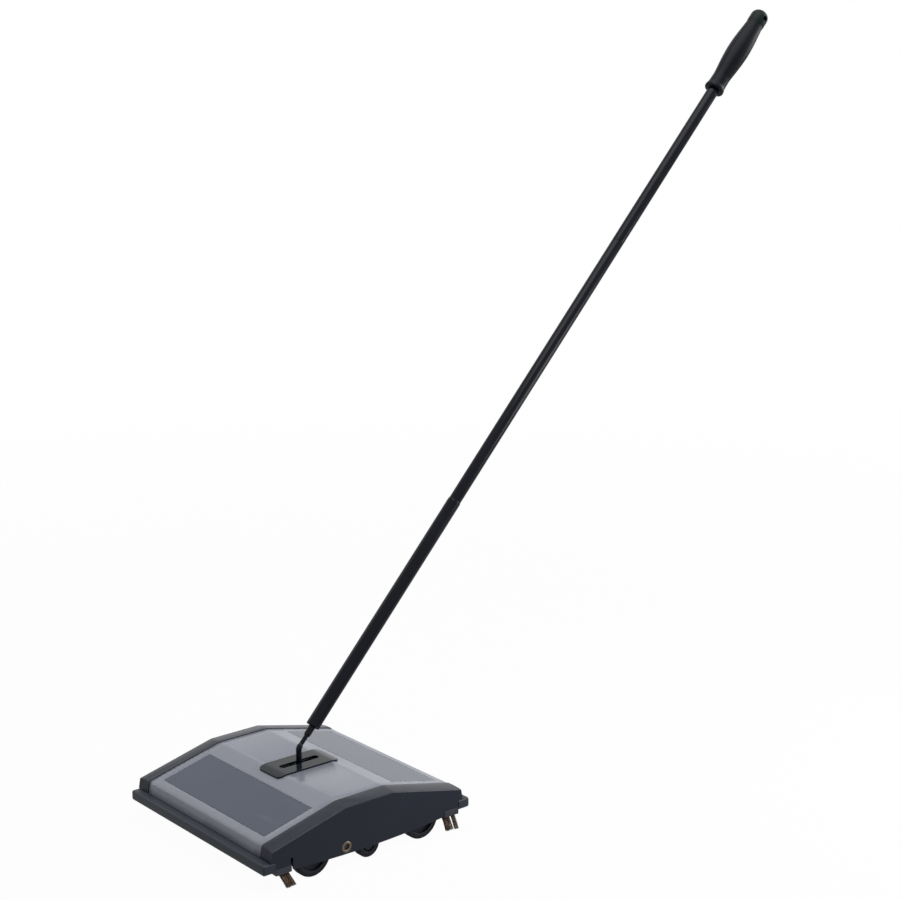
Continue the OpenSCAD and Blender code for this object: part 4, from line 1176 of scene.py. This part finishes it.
def buildScrews(name, nodeName, length, spots):
    screw = screwMesh(length)
    base = bpy.data.meshes.new(name)
    base.from_pydata([inMetres(at) for at, aim in spots], [], [])
    layer = base.attributes.new("aim", "FLOAT_VECTOR", "POINT")
    for k, (at, aim) in enumerate(spots):
        layer.data[k].vector = aim
    mesh = growMesh(name, screwTree, {"Screw": screw, "Material": zincSteel}, base)
    bpy.data.objects.remove(screw)
    addPiece(name, mesh, 40, zincSteel, nodeName)


screwPlaces = {
    "bracketX": 15.0, "bracketY": 9.0, "flangeDrop": 3.6, "sink": 0.1, "coverX": 107.0,
    "bumperX": (-84.0, -28.0, 28.0, 84.0), "bumperY": 116.0, "bumperZ": 24.7}
bracketZ = shell["crownHeight"] - screwPlaces["flangeDrop"] - screwPlaces["sink"]
coverZ = crownAt(coverLook["bossY"])[0] - coverLook["screwDrop"]
buildScrews("bracket_screw_set", "bracket_screws", 5.0, [
    ((x * screwPlaces["bracketX"], y * screwPlaces["bracketY"], bracketZ), (0, 0, 1))
    for x in (-1, 1) for y in (-1, 1)])
buildScrews("cover_screw_set", "cover_screws", 9.0, [
    ((x * screwPlaces["coverX"], y * coverLook["bossY"], coverZ), (-x, 0, 0))
    for x in (-1, 1) for y in (-1, 1)])
buildScrews("bumper_screw_set", "bumper_screws", 9.6, [
    ((x, side * screwPlaces["bumperY"], screwPlaces["bumperZ"]), (0, side, 0))
    for x in screwPlaces["bumperX"] for side in (-1, 1)])
print("springs and screws built")

# Floor, light and camera
floorLook = {
    "size": 14.0, "color": (0.6, 0.6, 0.61, 1.0), "near": 0.9, "far": 2.4, "whiteNear": 0.97, "mirrored": 0.4}


# 1 where the camera looks, straight or through a window, and mirrored where it sees a reflection
def whereSeen(tree, mirrored):
    path = place(tree, "ShaderNodeLightPath").outputs
    seen = calc("MAXIMUM", path["Is Camera Ray"], times(path["Is Glossy Ray"], mirrored))
    return calc("MAXIMUM", seen, path["Is Transmission Ray"])


def buildFloor():
    look = floorLook
    half = look["size"] / 2
    mesh = bpy.data.meshes.new("floor")
    rim = [(-half, -half, 0), (half, -half, 0), (half, half, 0), (-half, half, 0)]
    mesh.from_pydata(rim, [], [(0, 1, 2, 3)])
    floor = newPiece("floor", mesh)
    material = bpy.data.materials.new("paleFloor")
    tree = emptyTree(material)
    coords = place(tree, "ShaderNodeTexCoord").outputs["Object"]
    distance = vecCalc("LENGTH", coords, out="Value")
    fade = ranged(distance, look["near"], look["far"], look["whiteNear"], 1.0)
    matt = place(tree, "ShaderNodeBsdfDiffuse", {"Color": look["color"]})
    glow = place(tree, "ShaderNodeEmission", {"Color": (1.0, 1.0, 1.0, 1.0), "Strength": 1.0})
    share = times(whereSeen(tree, look["mirrored"]), fade)
    mix = place(tree, "ShaderNodeMixShader", {0: share, 1: matt, 2: glow})
    place(tree, "ShaderNodeOutputMaterial", {0: mix})
    floor.data.materials.append(material)


worldLevel = 0.22
lampLook = {
    "overhead": {"at": (0.2, 0.1, 2.3), "aim": (0.0, 0.1, 0.2), "size": (1.8, 1.8), "power": 31.0},
    "backStrip": {"at": (0.5, 2.1, 1.2), "aim": (0.0, 0.3, 0.4), "size": (0.6, 1.4), "power": 18.0},
    "sideStrip": {"at": (-1.5, -0.7, 0.9), "aim": (0.0, 0.3, 0.4), "size": (0.25, 1.4), "power": 2.0},
    "cornerPanel": {"at": (0.62, 0.78, 0.34), "aim": (0.1, 0.08, 0.04), "size": (0.5, 0.4), "power": 3.2}}


def areaLamp(name, look):
    data = bpy.data.lights.new(name, "AREA")
    data.shape = "RECTANGLE"
    data.size, data.size_y = look["size"]
    data.energy = look["power"]
    lamp = bpy.data.objects.new(name, data)
    lamp.location = look["at"]
    lamp.visible_camera = False
    lamp.rotation_euler = (Vector(look["aim"]) - Vector(look["at"])).to_track_quat("-Z", "Y").to_euler()
    collection.objects.link(lamp)


def buildLight():
    world = bpy.data.worlds.new("studio")
    bpy.context.scene.world = world
    tree = emptyTree(world)
    level = ranged(whereSeen(tree, 1.0), 0.0, 1.0, worldLevel, 1.0)
    sky = place(tree, "ShaderNodeBackground", {"Color": (1.0, 1.0, 1.0, 1.0), "Strength": level})
    place(tree, "ShaderNodeOutputWorld", {0: sky})
    for name, look in lampLook.items():
        areaLamp(name, look)


cameraPlace = {"location": (1.53285, -1.0847, 0.83005), "azimuth": 49.807, "elevation": 12.759, "lens": 74.93}


def buildCamera():
    data = bpy.data.cameras.new("camera")
    data.lens = cameraPlace["lens"]
    data.sensor_width = 36.0
    camera = bpy.data.objects.new("camera", data)
    camera.location = cameraPlace["location"]
    tilt, turn = radians(90 - cameraPlace["elevation"]), radians(cameraPlace["azimuth"])
    camera.rotation_euler = (tilt, 0, turn)
    collection.objects.link(camera)
    bpy.context.scene.camera = camera


buildFloor()
buildLight()
buildCamera()
bpy.context.scene.view_settings.view_transform = "Standard"
print("studio ready")
